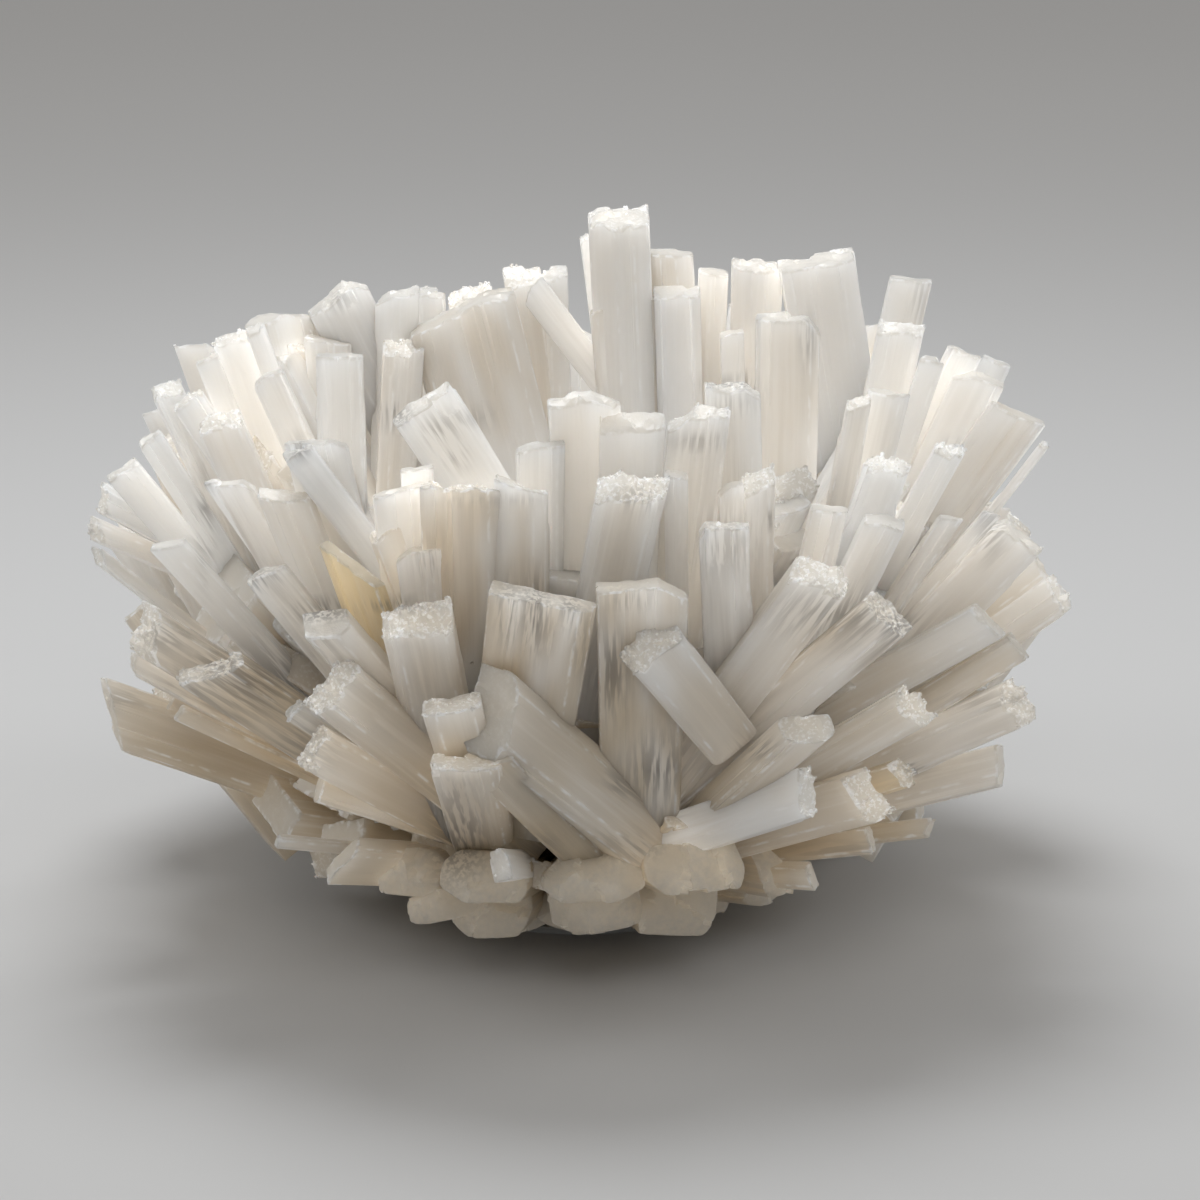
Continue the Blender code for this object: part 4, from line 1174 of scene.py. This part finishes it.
def blade_mesh(blade, rings, spacing, rng):
    """Corners in the blade's own axes, quads, triangles, the section and the count of rings."""
    around = section(blade, spacing, rng)
    sunk = lath_depths(blade, around, rng)
    height = broken_end(blade, rng)
    loops = side_rings(blade, around, rings, sunk, height)
    count = len(around.points)
    step = np.arange(count)
    after = np.roll(step, -1)
    bands = [
        np.column_stack([step, after, after + count, step + count]) + count * k
        for k in range(len(loops))
    ]
    flat, tip_faces = end_cap(loops[-1], around, spacing, rng)
    tip_end = roughened(flat, blade.length + height(flat), blade, rng)
    tip_start = count * len(loops)
    root_start = tip_start + len(tip_end)
    if blade.open_root:
        under = broken_end(blade, rng)
        flat, root_faces = end_cap(loops[0], around, spacing, rng)
        root_end = roughened(flat, -under(flat) - ROOT_BELOW, blade, rng, sign=-1)
        root_faces = root_faces[:, ::-1] + root_start
        bands.append(np.column_stack([after, step, step + root_start, after + root_start]))
    else:
        root_end = loops[0].mean(axis=0)[None, :]
        root_faces = np.column_stack([after, step, np.full(count, root_start)])
    corners = np.concatenate(loops + [tip_end, root_end])
    triangles = np.concatenate([tip_faces + tip_start, root_faces])
    return corners, np.concatenate(bands), triangles, around, len(loops)

# %% [markdown]
# Crumbs of spar sit on the crumbly ends: small angular grains that catch the light. A grain is
# an icosahedron with its corners pushed in and out, which stays closed and costs 20 faces. A
# sphere would need ten times as many and would still look too round.

# %% Crumbs
GOLD = (1 + math.sqrt(5)) / 2
ICO_CORNERS = np.array([
    (-1, GOLD, 0), (1, GOLD, 0), (-1, -GOLD, 0), (1, -GOLD, 0), (0, -1, GOLD), (0, 1, GOLD),
    (0, -1, -GOLD), (0, 1, -GOLD), (GOLD, 0, -1), (GOLD, 0, 1), (-GOLD, 0, -1), (-GOLD, 0, 1),
]) / math.hypot(1, GOLD)
ICO_FACES = np.array([
    (0, 11, 5), (0, 5, 1), (0, 1, 7), (0, 7, 10), (0, 10, 11), (1, 5, 9), (5, 11, 4),
    (11, 10, 2), (10, 7, 6), (7, 1, 8), (3, 9, 4), (3, 4, 2), (3, 2, 6), (3, 6, 8), (3, 8, 9),
    (4, 9, 5), (2, 4, 11), (6, 2, 10), (8, 6, 7), (9, 8, 1),
])
MOST_CRUMBS = 70
CRUMBS_PER_WIDTH = 0.022
WIDEST_SHARE = 1.5
CRUMB_SIZE = (0.0004, 0.0011)
CRUMB_STRETCH = (0.7, 1.2)
CRUMB_DENT = (0.75, 1.2)


def crumbs(blade, ends, rng):
    """Grains sunk into the broken end, whose corners are given, and the faces of each."""
    wide = min(WIDEST_SHARE, blade.width / CRUMBS_PER_WIDTH)
    count = int(blade.look.crumble ** 4 * MOST_CRUMBS * wide)
    grains, faces = [], []
    for number in range(count):
        spot = ends[rng.integers(len(ends))]
        size = rng.uniform(*CRUMB_SIZE) * rng.uniform(*CRUMB_STRETCH, 3)
        grain = ICO_CORNERS * rng.uniform(*CRUMB_DENT, (len(ICO_CORNERS), 1)) * size
        grains.append(spot + grain)
        faces.append(ICO_FACES + number * len(ICO_CORNERS))
    return grains, faces


print("a crumb has", len(ICO_FACES), "faces")

# %% [markdown]
# ## Paint that travels with the mesh
# The material needs to know, at each corner, where it is along the fibres, what the blade's look is,
# how deep inside the bowl it is, which sets its painted shade, whether it is on a broken end, and how
# much clay it holds. Those numbers are stored on the mesh as named attributes. They go with the piece
# when it is copied or exported, and need no picture.

# %% Paint
DEEP_SPAN = 0.42
LOW_FROM = 0.19
LOW_SPAN = 0.16
LOW_SHARE = 0.8
VEIN_FALL = 0.8
END_LEAST = 0.4
STONE_EDGE = 0.5


def painted_shade(world):
    """Painted shade: 0 at the bowl's outside, 1 well inside, and more toward the foot."""
    rise = world[:, 2] - ENVELOPE_MIDDLE
    half = np.where(rise > 0, ENVELOPE_ABOVE, ENVELOPE_BELOW)
    radius = np.hypot(world[:, 0], world[:, 1])
    level = np.sqrt((radius / ENVELOPE_RADIUS) ** 2 + (rise / half) ** 2)
    low = np.clip((LOW_FROM - world[:, 2]) / LOW_SPAN, 0, 1)
    return np.clip((1 - level) / DEEP_SPAN + low * LOW_SHARE, 0, 1)


def clay(world):
    """How much of the veins' clay each corner holds."""
    u, v = seen_at(world)
    held = np.zeros(len(world))
    for vein in VEINS:
        away = ((u - vein.u) / vein.half_u) ** 2 + ((v - vein.v) / vein.half_v) ** 2
        held = np.maximum(held, vein.strength * np.exp(-away * VEIN_FALL))
    return held


def end_and_edge(blade, near_corner, ring_count, total):
    """For each corner, how far it is on a broken end and how far on an edge."""
    count = len(near_corner)
    sides = count * ring_count
    on_end, on_edge = np.zeros(total), np.zeros(total)
    on_end[sides:] = END_LEAST + (1 - END_LEAST) * blade.look.crumble
    on_end[sides - count:sides] = END_LEAST / 2
    on_edge[:sides] = np.tile(near_corner, ring_count)
    on_edge[sides - count:sides + count] = 1
    if blade.bulge:
        on_edge *= STONE_EDGE
    return on_end, on_edge


print("the eye's target is", round(float(painted_shade(np.array([VIEW_TARGET]))[0]), 2), "deep")

# %% [markdown]
# ## Building materials with nodes
# A material is a graph of small steps. A few helpers, one for each kind of step, make the graph
# read like a formula. An input takes either a number or another step's result.

# %% Node helpers
def feed(tree, socket, value):
    """Set a socket to a value, or link it where the value is another node's socket."""
    if isinstance(value, bpy.types.NodeSocket):
        tree.links.new(value, socket)
    else:
        socket.default_value = value


def add(tree, kind, **inputs):
    """A new node, with values or links on its inputs."""
    node = tree.nodes.new(kind)
    for name, value in inputs.items():
        feed(tree, node.inputs[name.replace("_", " ")], value)
    return node


def math_node(tree, operation, first, second, clamp=False):
    """The result of one sum; both terms may be numbers or sockets."""
    node = tree.nodes.new("ShaderNodeMath")
    node.operation = operation
    node.use_clamp = clamp
    for socket, value in zip(node.inputs, (first, second)):
        feed(tree, socket, value)
    return node.outputs[0]


def times(tree, first, second):
    """The product of two terms."""
    return math_node(tree, "MULTIPLY", first, second)

# %% [markdown]
# With those, the steps that a finish is made of: a smooth ramp that turns a noise into a mask,
# a blend of two colours, the numbers stored on the mesh, and an empty material to start from.

# %% Steps of a finish
def ramp(tree, value, low, high):
    """0 at low, 1 at high, smooth between; it falls where low is the larger."""
    node = tree.nodes.new("ShaderNodeMapRange")
    node.interpolation_type = "SMOOTHSTEP"
    for name, given in (("Value", value), ("From Min", low), ("From Max", high)):
        feed(tree, node.inputs[name], given)
    return node.outputs["Result"]


def blend(tree, factor, first, second):
    """A colour between two colours."""
    node = tree.nodes.new("ShaderNodeMix")
    node.data_type = "RGBA"
    for number, value in ((0, factor), (6, first), (7, second)):
        feed(tree, node.inputs[number], value)
    return node.outputs[2]


def stored(tree, name):
    """The node that reads a named attribute of the mesh."""
    node = tree.nodes.new("ShaderNodeAttribute")
    node.attribute_name = name
    return node


def three_numbers(tree, name):
    """The three numbers of a named attribute."""
    return add(tree, "ShaderNodeSeparateXYZ", Vector=stored(tree, name).outputs["Vector"]).outputs


def new_material(name):
    """A material, its node tree and its shader."""
    material = bpy.data.materials.new(name)
    material.use_nodes = True
    return material, material.node_tree, material.node_tree.nodes["Principled BSDF"]

# %% [markdown]
# ## The finish of the spar
# Deep inside the bowl, and more toward its foot, the spar is painted warmer and darker: painted shade,
# and the warm tint of light that has passed through much of it. Its fibres show in colour, in gloss and
# in relief. Noise drawn out along the blade gives all three, and one table holds its sizes. A picture
# of real spar would look as good from one side, but it would run across the blades that stand the other
# way.

# %% Noise of the spar
FIBRE_ROUGHNESS = 0.55
# For each noise: how fine it is across the fibres, its share of that along them, its detail.
# The noise named chip only breaks up the painted highlights on the edges.
FIBRES = {
    "fine": (1500, 0.020, 1), "streak": (380, 0.045, 2), "cloud": (60, 0.30, 1),
    "milk": (28, 0.55, 1), "chip": (240, 0.5, 2), "speck": (700, 1.0, 1), "torn": (520, 0.080, 2),
}


def fibres(tree, vector, scale, along, detail):
    """Noise drawn out along the fibres, from 0 to 1."""
    mapping = add(tree, "ShaderNodeMapping", Vector=vector, Scale=(1, 1, along))
    noise = add(tree, "ShaderNodeTexNoise", Vector=mapping.outputs[0], Scale=scale,
                Detail=detail, Roughness=FIBRE_ROUGHNESS)
    return noise.outputs[0]


print(len(FIBRES), "noises in the spar")

# %% [markdown]
# The colour is laid on in coats, as a painter would: white first, warmed by the blade's own tone and by
# painted shade deep inside, then streaks of painted sheen, grey grime, the dull broken ends, painted
# highlights on the edges, specks on the crumbs, and last the clay. Each coat has a mask, made of noise
# and of the numbers stored on the mesh.

# %% Colour of the spar
PALE = (0.93, 0.93, 0.925, 1)
# The next colour is both the blades' own warm tone and the painted shade deep inside the bowl.
WARM_AND_SHADE = (0.66, 0.55, 0.40, 1)
BREAK = (0.66, 0.62, 0.55, 1)
TAN = (0.82, 0.66, 0.40, 1)
WHITE = (0.98, 0.98, 0.98, 1)
GREY = (0.34, 0.32, 0.30, 1)
CLAY = (0.10, 0.085, 0.075, 1)
# How much of each coat shows at most.
MILKY, SHEEN_STREAKS, GRIME, BROKEN, EDGE_HIGHLIGHTS, SPECKS, VEINED = 0.25, 0.35, 0.65, 0.60, 0.65, 0.5, 0.70
SHEEN_CLEARS = 0.6
TAN_FROM = 0.8


def warmth_and_shade(tree, noise, deep, warm, silk, depth_shade):
    """How warm and dark the spar is: painted shade deep inside, less where sheen is painted, its own
    warm tone in clouds, and milky patches that grow with the course's shade.
    """
    # The inner share is painted shade, darker and warmer deep inside the bowl.
    inner = times(tree, deep, depth_shade)
    inner = times(tree, inner, math_node(tree, "SUBTRACT", 1.0, times(tree, silk, SHEEN_CLEARS)))
    tint = times(tree, warm, ramp(tree, noise["cloud"], 0.20, 0.70))
    milky = times(tree, ramp(tree, noise["milk"], 0.35, 0.65), MILKY * depth_shade)
    return math_node(tree, "ADD", inner, math_node(tree, "ADD", tint, milky), clamp=True)


def spar_colour(tree, noise, spot, depth_shade):
    """The colour of the spar, coat by coat."""
    grey, warm, silk = three_numbers(tree, "look")
    deep, end, held = spot
    edge = stored(tree, "edge").outputs["Fac"]
    grime = times(tree, ramp(tree, noise["streak"], 0.75, 0.25), ramp(tree, noise["cloud"], 0.25, 0.65))
    # Painted highlights: white along the blades' edges and tip rims, broken up by noise.
    edge_highlights = times(tree, ramp(tree, noise["chip"], 0.44, 0.64), ramp(tree, edge, 0.25, 1.0))
    specks = times(tree, ramp(tree, noise["speck"], 0.52, 0.66), SPECKS)
    veins = times(tree, held, ramp(tree, noise["torn"], 0.60, 0.42))
    coats = (
        (math_node(tree, "SUBTRACT", warm, TAN_FROM, clamp=True), TAN),
        # Painted sheen: white streaks along the fibres of the blades that shine.
        (times(tree, ramp(tree, noise["streak"], 0.45, 0.72), times(tree, silk, SHEEN_STREAKS)), WHITE),
        (times(tree, grime, times(tree, grey, GRIME)), GREY),
        (times(tree, ramp(tree, end, 0.0, 0.35), BROKEN), BREAK),
        (times(tree, edge_highlights, EDGE_HIGHLIGHTS), WHITE),
        (times(tree, ramp(tree, end, 0.45, 0.95), specks), WHITE),
        (times(tree, veins, VEINED), CLAY),
    )
    colour = blend(tree, warmth_and_shade(tree, noise, deep, warm, silk, depth_shade), PALE, WARM_AND_SHADE)
    for mask, coat in coats:
        colour = blend(tree, mask, colour, coat)
    return colour

# %% [markdown]
# Light enters a blade, scatters and leaves it elsewhere, which subsurface scattering imitates, and the
# fibres draw the highlight out across themselves, which is anisotropy. The direction of the fibres
# comes from a UV map. Each course gets its own version, because its painted shade differs: the foot is
# painted warm and dark all through and the rim is left nearly white.

# %% Spar
SPAR_VALUES = {
    "Anisotropic": 0.65, "IOR": 1.52, "Subsurface Weight": 0.85,
    "Subsurface Radius": (1.0, 0.90, 0.78), "Subsurface Scale": 0.030,
    "Coat Weight": 0.15, "Coat Roughness": 0.16,
}
GLOSS_LEAST = 0.26
GLOSS_FIBRES = 0.20
GLOSS_END = 0.12
STREAK_RELIEF = 0.8
RELIEF_STRENGTH = 0.16
RELIEF_DEPTH = 0.0009


def spar_material(name, depth_shade):
    """Satin spar; depth_shade is how much painted shade, warmer and darker, this course gets inside the
    bowl.
    """
    material, tree, shader = new_material(name)
    shader.subsurface_method = "BURLEY"
    grain = stored(tree, "grain").outputs["Vector"]
    noise = {label: fibres(tree, grain, *sizes) for label, sizes in FIBRES.items()}
    spot = three_numbers(tree, "spot")
    feed(tree, shader.inputs["Base Color"], spar_colour(tree, noise, spot, depth_shade))

    gloss = times(tree, noise["fine"], GLOSS_FIBRES)
    gloss = math_node(tree, "ADD", gloss, times(tree, spot[1], GLOSS_END))
    feed(tree, shader.inputs["Roughness"], math_node(tree, "ADD", gloss, GLOSS_LEAST))

    relief = math_node(tree, "ADD", noise["fine"], times(tree, noise["streak"], STREAK_RELIEF))
    bump = add(tree, "ShaderNodeBump", Strength=RELIEF_STRENGTH, Distance=RELIEF_DEPTH, Height=relief)
    feed(tree, shader.inputs["Normal"], bump.outputs[0])
    tangent = tree.nodes.new("ShaderNodeTangent")
    tangent.direction_type = "UV_MAP"
    tangent.uv_map = "fibre"
    feed(tree, shader.inputs["Tangent"], tangent.outputs[0])
    for label, value in SPAR_VALUES.items():
        shader.inputs[label].default_value = value
    return material


# How much painted shade each course gets deep inside the bowl: most at the foot and the low courses,
# little at the rim.
DEPTH_SHADE = {
    "foot": 0.95, "low": 1.05, "middle": 0.95, "upper": 0.40, "rim": 0.12, "inner": 0.10,
}
finishes = {course: spar_material(course + "_spar", course_shade) for course, course_shade in DEPTH_SHADE.items()}
print(len(finishes), "finishes")

# %% [markdown]
# ## Joining the blades into pieces
# Each solid gets one piece: all the blades of its bunch in one mesh. First each blade is meshed
# in its own axes and turned into its place. Its random draws come from a generator of its own,
# so that a change to one blade leaves the others as they were.

# %% Dress a blade
SPACING = {"front": 0.0021, "back": 0.0034, "filler": 0.0044}
DETAIL = (
    (front_count, RINGS_FRONT, SPACING["front"]),
    (solid_count, RINGS_BACK, SPACING["back"]),
    (len(blades), RINGS_FILLER, SPACING["filler"]),
)
BLADE_SEEDS = SEED * 1000
GRAIN_SHIFT = 5
FLOOR_CLEAR = 0.0034


def dress(i):
    """World corners, faces and paint of blade number i, crumbs included."""
    blade = blades[i]
    rng = np.random.default_rng(BLADE_SEEDS + i)
    rings, spacing = next((rings, spacing) for end, rings, spacing in DETAIL if i < end)
    corners, quads, triangles, around, ring_count = blade_mesh(blade, rings, spacing, rng)
    on_end, on_edge = end_and_edge(blade, around.near_corner, ring_count, len(corners))
    grains, grain_faces = crumbs(blade, corners[on_end >= END_LEAST], rng)
    if grains:
        triangles = np.concatenate([triangles, np.concatenate(grain_faces) + len(corners)])
        corners = np.concatenate([corners] + grains)
        on_end = np.concatenate([on_end, np.ones(len(corners) - len(on_end))])
        on_edge = np.concatenate([on_edge, np.ones(len(corners) - len(on_edge))])
    axes = np.array([blade.across, blade.depth, blade.axis])
    world = np.array(blade.root) + corners @ axes
    world[:, 2] = np.maximum(world[:, 2], FLOOR_CLEAR)
    if np.linalg.det(axes) < 0:
        quads, triangles = quads[:, ::-1], triangles[:, ::-1]
    held = clay(world) if i < front_count else np.zeros(len(world))
    look = (blade.look.grey, blade.look.warm, blade.look.silk)
    return SimpleNamespace(
        world=world, quads=quads, triangles=triangles, edge=on_edge,
        grain=corners + rng.uniform(-GRAIN_SHIFT, GRAIN_SHIFT, 3),
        look=np.tile(look, (len(world), 1)),
        spot=np.column_stack([painted_shade(world), on_end, held]),
        fibre=np.column_stack([corners[:, 0] + corners[:, 1], corners[:, 2]]),
    )

# %% [markdown]
# The blades of a bunch are then joined. Whole arrays are handed over in one go, because adding corners
# one at a time would take minutes. The piece rides on the root body, takes the place of its solid, and
# gets the finish of its course.

# %% Pieces
SMOOTH_BELOW = math.radians(28)


def stand(name, mesh):
    """An object of a mesh, put in the scene."""
    made = bpy.data.objects.new(name, mesh)
    bpy.context.collection.objects.link(made)
    return made


def make_piece(name, members):
    """One mesh of the blades in members, with its attributes and its fibre directions."""
    parts = [dress(i) for i in members]
    faces, start = [], 0
    for part in parts:
        faces += (part.quads + start).tolist() + (part.triangles + start).tolist()
        start += len(part.world)

    def joined(label):
        return np.concatenate([getattr(part, label) for part in parts])

    mesh = bpy.data.meshes.new(name)
    mesh.from_pydata(joined("world"), [], faces)
    for label in ("grain", "look", "spot"):
        layer = mesh.attributes.new(label, "FLOAT_VECTOR", "POINT")
        layer.data.foreach_set("vector", joined(label).astype(np.float32).ravel())
    layer = mesh.attributes.new("edge", "FLOAT", "POINT")
    layer.data.foreach_set("value", joined("edge").astype(np.float32))
    loop_corners = np.empty(len(mesh.loops), dtype=np.int32)
    mesh.loops.foreach_get("vertex_index", loop_corners)
    layer = mesh.uv_layers.new(name="fibre")
    layer.data.foreach_set("uv", joined("fibre")[loop_corners].astype(np.float32).ravel())
    mesh.shade_smooth()
    mesh.set_sharp_from_angle(angle=SMOOTH_BELOW)
    return stand(name, mesh)


triangle_count = 0
for node_name, members in bunches.items():
    course = node_name.split("_")[0]
    piece = make_piece("spar_" + node_name, members)
    piece.data.materials.append(finishes[course])
    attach(piece, "root")
    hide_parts(node_name)
    triangle_count += sum(len(face.vertices) - 2 for face in piece.data.polygons)
print(len(bunches), "pieces,", triangle_count, "triangles")

# %% [markdown]
# ## The clear disc
# Everything stands on a thin clear disc, of which only the edge shows between the foot stones.
# It is turned like a lathe part, a profile swept round the axis, so that its edge can be
# rounded as on a real cast or polished disc. A ready-made cylinder would have sharp edges,
# which catch no light.

# %% Shape of the disc
DISC_RADIUS = 0.062
DISC_THICKNESS = 0.003
DISC_ROUND = 0.0006
DISC_SIDES = 128
DISC_SMOOTH_BELOW = math.radians(40)
ROUND_STEPS = 4


def rounded_edge():
    """Profile of the disc, with a quarter round at both edges."""
    profile = []
    for turn in range(ROUND_STEPS + 1):
        angle = math.pi / 2 * turn / ROUND_STEPS
        profile.append((DISC_RADIUS - DISC_ROUND + DISC_ROUND * math.sin(angle),
                        DISC_ROUND - DISC_ROUND * math.cos(angle)))
    return profile + [(radius, DISC_THICKNESS - height) for radius, height in reversed(profile)]


def lathe(name, profile, sides):
    """A closed form: a profile of (radius, height) from the bottom's middle to the top's."""
    corners = [(0, 0, profile[0][1])]
    for radius, height in profile:
        for k in range(sides):
            angle = math.tau * k / sides
            corners.append((radius * math.cos(angle), radius * math.sin(angle), height))
    corners.append((0, 0, profile[-1][1]))
    faces = []
    for k in range(sides):
        after = (k + 1) % sides
        faces.append((0, 1 + after, 1 + k))
        for ring in range(len(profile) - 1):
            low, high = 1 + ring * sides, 1 + (ring + 1) * sides
            faces.append((low + k, low + after, high + after, high + k))
        top = 1 + (len(profile) - 1) * sides
        faces.append((top + k, top + after, len(corners) - 1))
    mesh = bpy.data.meshes.new(name)
    mesh.from_pydata(corners, [], faces)
    mesh.shade_smooth()
    mesh.set_sharp_from_angle(angle=DISC_SMOOTH_BELOW)
    return stand(name, mesh)


disc = lathe("clear_disc", rounded_edge(), DISC_SIDES)
print("disc", [round(side, 4) for side in disc.dimensions])

# %% [markdown]
# The disc lets part of the light through, and a pale body throws back the rest, as in a disc
# that is slightly clouded. Faint smears change how rough it is, as on anything that people have
# handled. They are plain noise, because a smear has no shape that anyone would look for.

# %% Finish of the disc
DISC_VALUES = {"Base Color": (0.96, 0.98, 0.975, 1), "Transmission Weight": 0.6, "IOR": 1.49}
SMEAR_SCALE = 90
SMEAR_DETAIL = 4
SMEAR_ROUGHNESS = 0.12

clear, clear_tree, clear_shader = new_material("clear_disc")
for label, value in DISC_VALUES.items():
    clear_shader.inputs[label].default_value = value
smears = add(clear_tree, "ShaderNodeTexNoise", Scale=SMEAR_SCALE, Detail=SMEAR_DETAIL).outputs[0]
smears = times(clear_tree, ramp(clear_tree, smears, 0.5, 0.8), SMEAR_ROUGHNESS)
feed(clear_tree, clear_shader.inputs["Roughness"], smears)
disc.data.materials.append(clear)
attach(disc, "root")
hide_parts("base_disc")
print("transmission", DISC_VALUES["Transmission Weight"])

# %% [markdown]
# ## Studio
# The bowl stands on a wide, pale, flat floor. A backdrop that curves up behind it would be the
# usual choice, but it would stand in the way when the bowl is looked at from behind. Far from
# the bowl less light falls on the floor, so its paper is a little paler there and looks even.

# %% Floor
FLOOR_RADIUS = 12
FLOOR_SIDES = 96
FLOOR_ROUGHNESS = 0.8
# Distance from the bowl's axis, and how pale the paper is there.
FLOOR_NEAR = (0.4, 0.60)
FLOOR_FAR = (2.6, 0.92)


def flat_floor():
    """A round flat floor, so wide that its edge stays out of every view."""
    corners = [
        (FLOOR_RADIUS * math.cos(math.tau * k / FLOOR_SIDES),
         FLOOR_RADIUS * math.sin(math.tau * k / FLOOR_SIDES), 0)
        for k in range(FLOOR_SIDES)
    ]
    mesh = bpy.data.meshes.new("floor")
    mesh.from_pydata(corners, [], [tuple(range(FLOOR_SIDES))])
    return stand("floor", mesh)


floor = flat_floor()
paper, paper_tree, paper_shader = new_material("pale_paper")
away = paper_tree.nodes.new("ShaderNodeVectorMath")
away.operation = "LENGTH"
feed(paper_tree, away.inputs[0], paper_tree.nodes.new("ShaderNodeTexCoord").outputs["Object"])
far_share = ramp(paper_tree, away.outputs["Value"], FLOOR_NEAR[0], FLOOR_FAR[0])
near_shade, far_shade = ((pale, pale, pale, 1) for _, pale in (FLOOR_NEAR, FLOOR_FAR))
feed(paper_tree, paper_shader.inputs["Base Color"], blend(paper_tree, far_share, near_shade, far_shade))
paper_shader.inputs["Roughness"].default_value = FLOOR_ROUGHNESS
floor.data.materials.append(paper)
print("floor", round(floor.dimensions.x, 1), "m across")

# %% [markdown]
# Four large soft lights: a strong one above and a little behind, which makes the tips glow, one
# on each side, and a slightly warm one in front. Large lights give the soft edges of shade that
# suit milky stone. A faint even light from all round keeps the gaps from going black.

# %% Lights
BOWL_MIDDLE = (0, 0, 0.14)
COOL = (0.95, 0.975, 1.0)
ROUND_COLOUR = (1.0, 0.98, 0.95, 1)
ROUND_STRENGTH = 0.30


def soft_light(name, place, size, power, colour):
    """A round area light, turned toward the middle of the bowl."""
    data = bpy.data.lights.new(name, "AREA")
    data.shape = "DISK"
    data.size = size
    data.energy = power
    data.color = colour
    lamp = stand(name, data)
    lamp.location = place
    lamp.rotation_euler = (Vector(BOWL_MIDDLE) - Vector(place)).to_track_quat("-Z", "Y").to_euler()


soft_light("top", (-0.1, 0.5, 1.4), 0.8, 12, (0.97, 0.985, 1.0))
soft_light("left", (-1.3, 0.0, 0.85), 0.6, 2.6, COOL)
soft_light("right", (1.3, 0.2, 0.75), 0.6, 3.2, COOL)
soft_light("front", (0.1, -1.7, 1.5), 1.2, 6.3, (1.0, 0.975, 0.935))

studio = bpy.data.worlds.new("studio")
studio.use_nodes = True
background = studio.node_tree.nodes["Background"]
background.inputs["Color"].default_value = ROUND_COLOUR
background.inputs["Strength"].default_value = ROUND_STRENGTH
bpy.context.scene.world = studio
bpy.context.scene.view_settings.view_transform = "Standard"
print(len(bpy.data.lights), "lights")

# %% [markdown]
# The camera stands where the eye of the front view is. Its lens follows from the size of the
# picture at the bowl, so that a pixel in the tables is the same pixel in a picture of 1200. It is
# a long lens, which keeps the near blades from looking larger than they are.

# %% Camera
SENSOR = 36
camera_data = bpy.data.cameras.new("camera")
camera_data.sensor_width = SENSOR
camera_data.lens = SENSOR * VIEW_DISTANCE / (PICTURE_PX * METRES_PER_PX)
camera = stand("camera", camera_data)
camera.location = EYE
camera.rotation_euler = FORWARD.to_track_quat("-Z", "Y").to_euler()
bpy.context.scene.camera = camera
print("lens", round(camera_data.lens, 1), "mm")
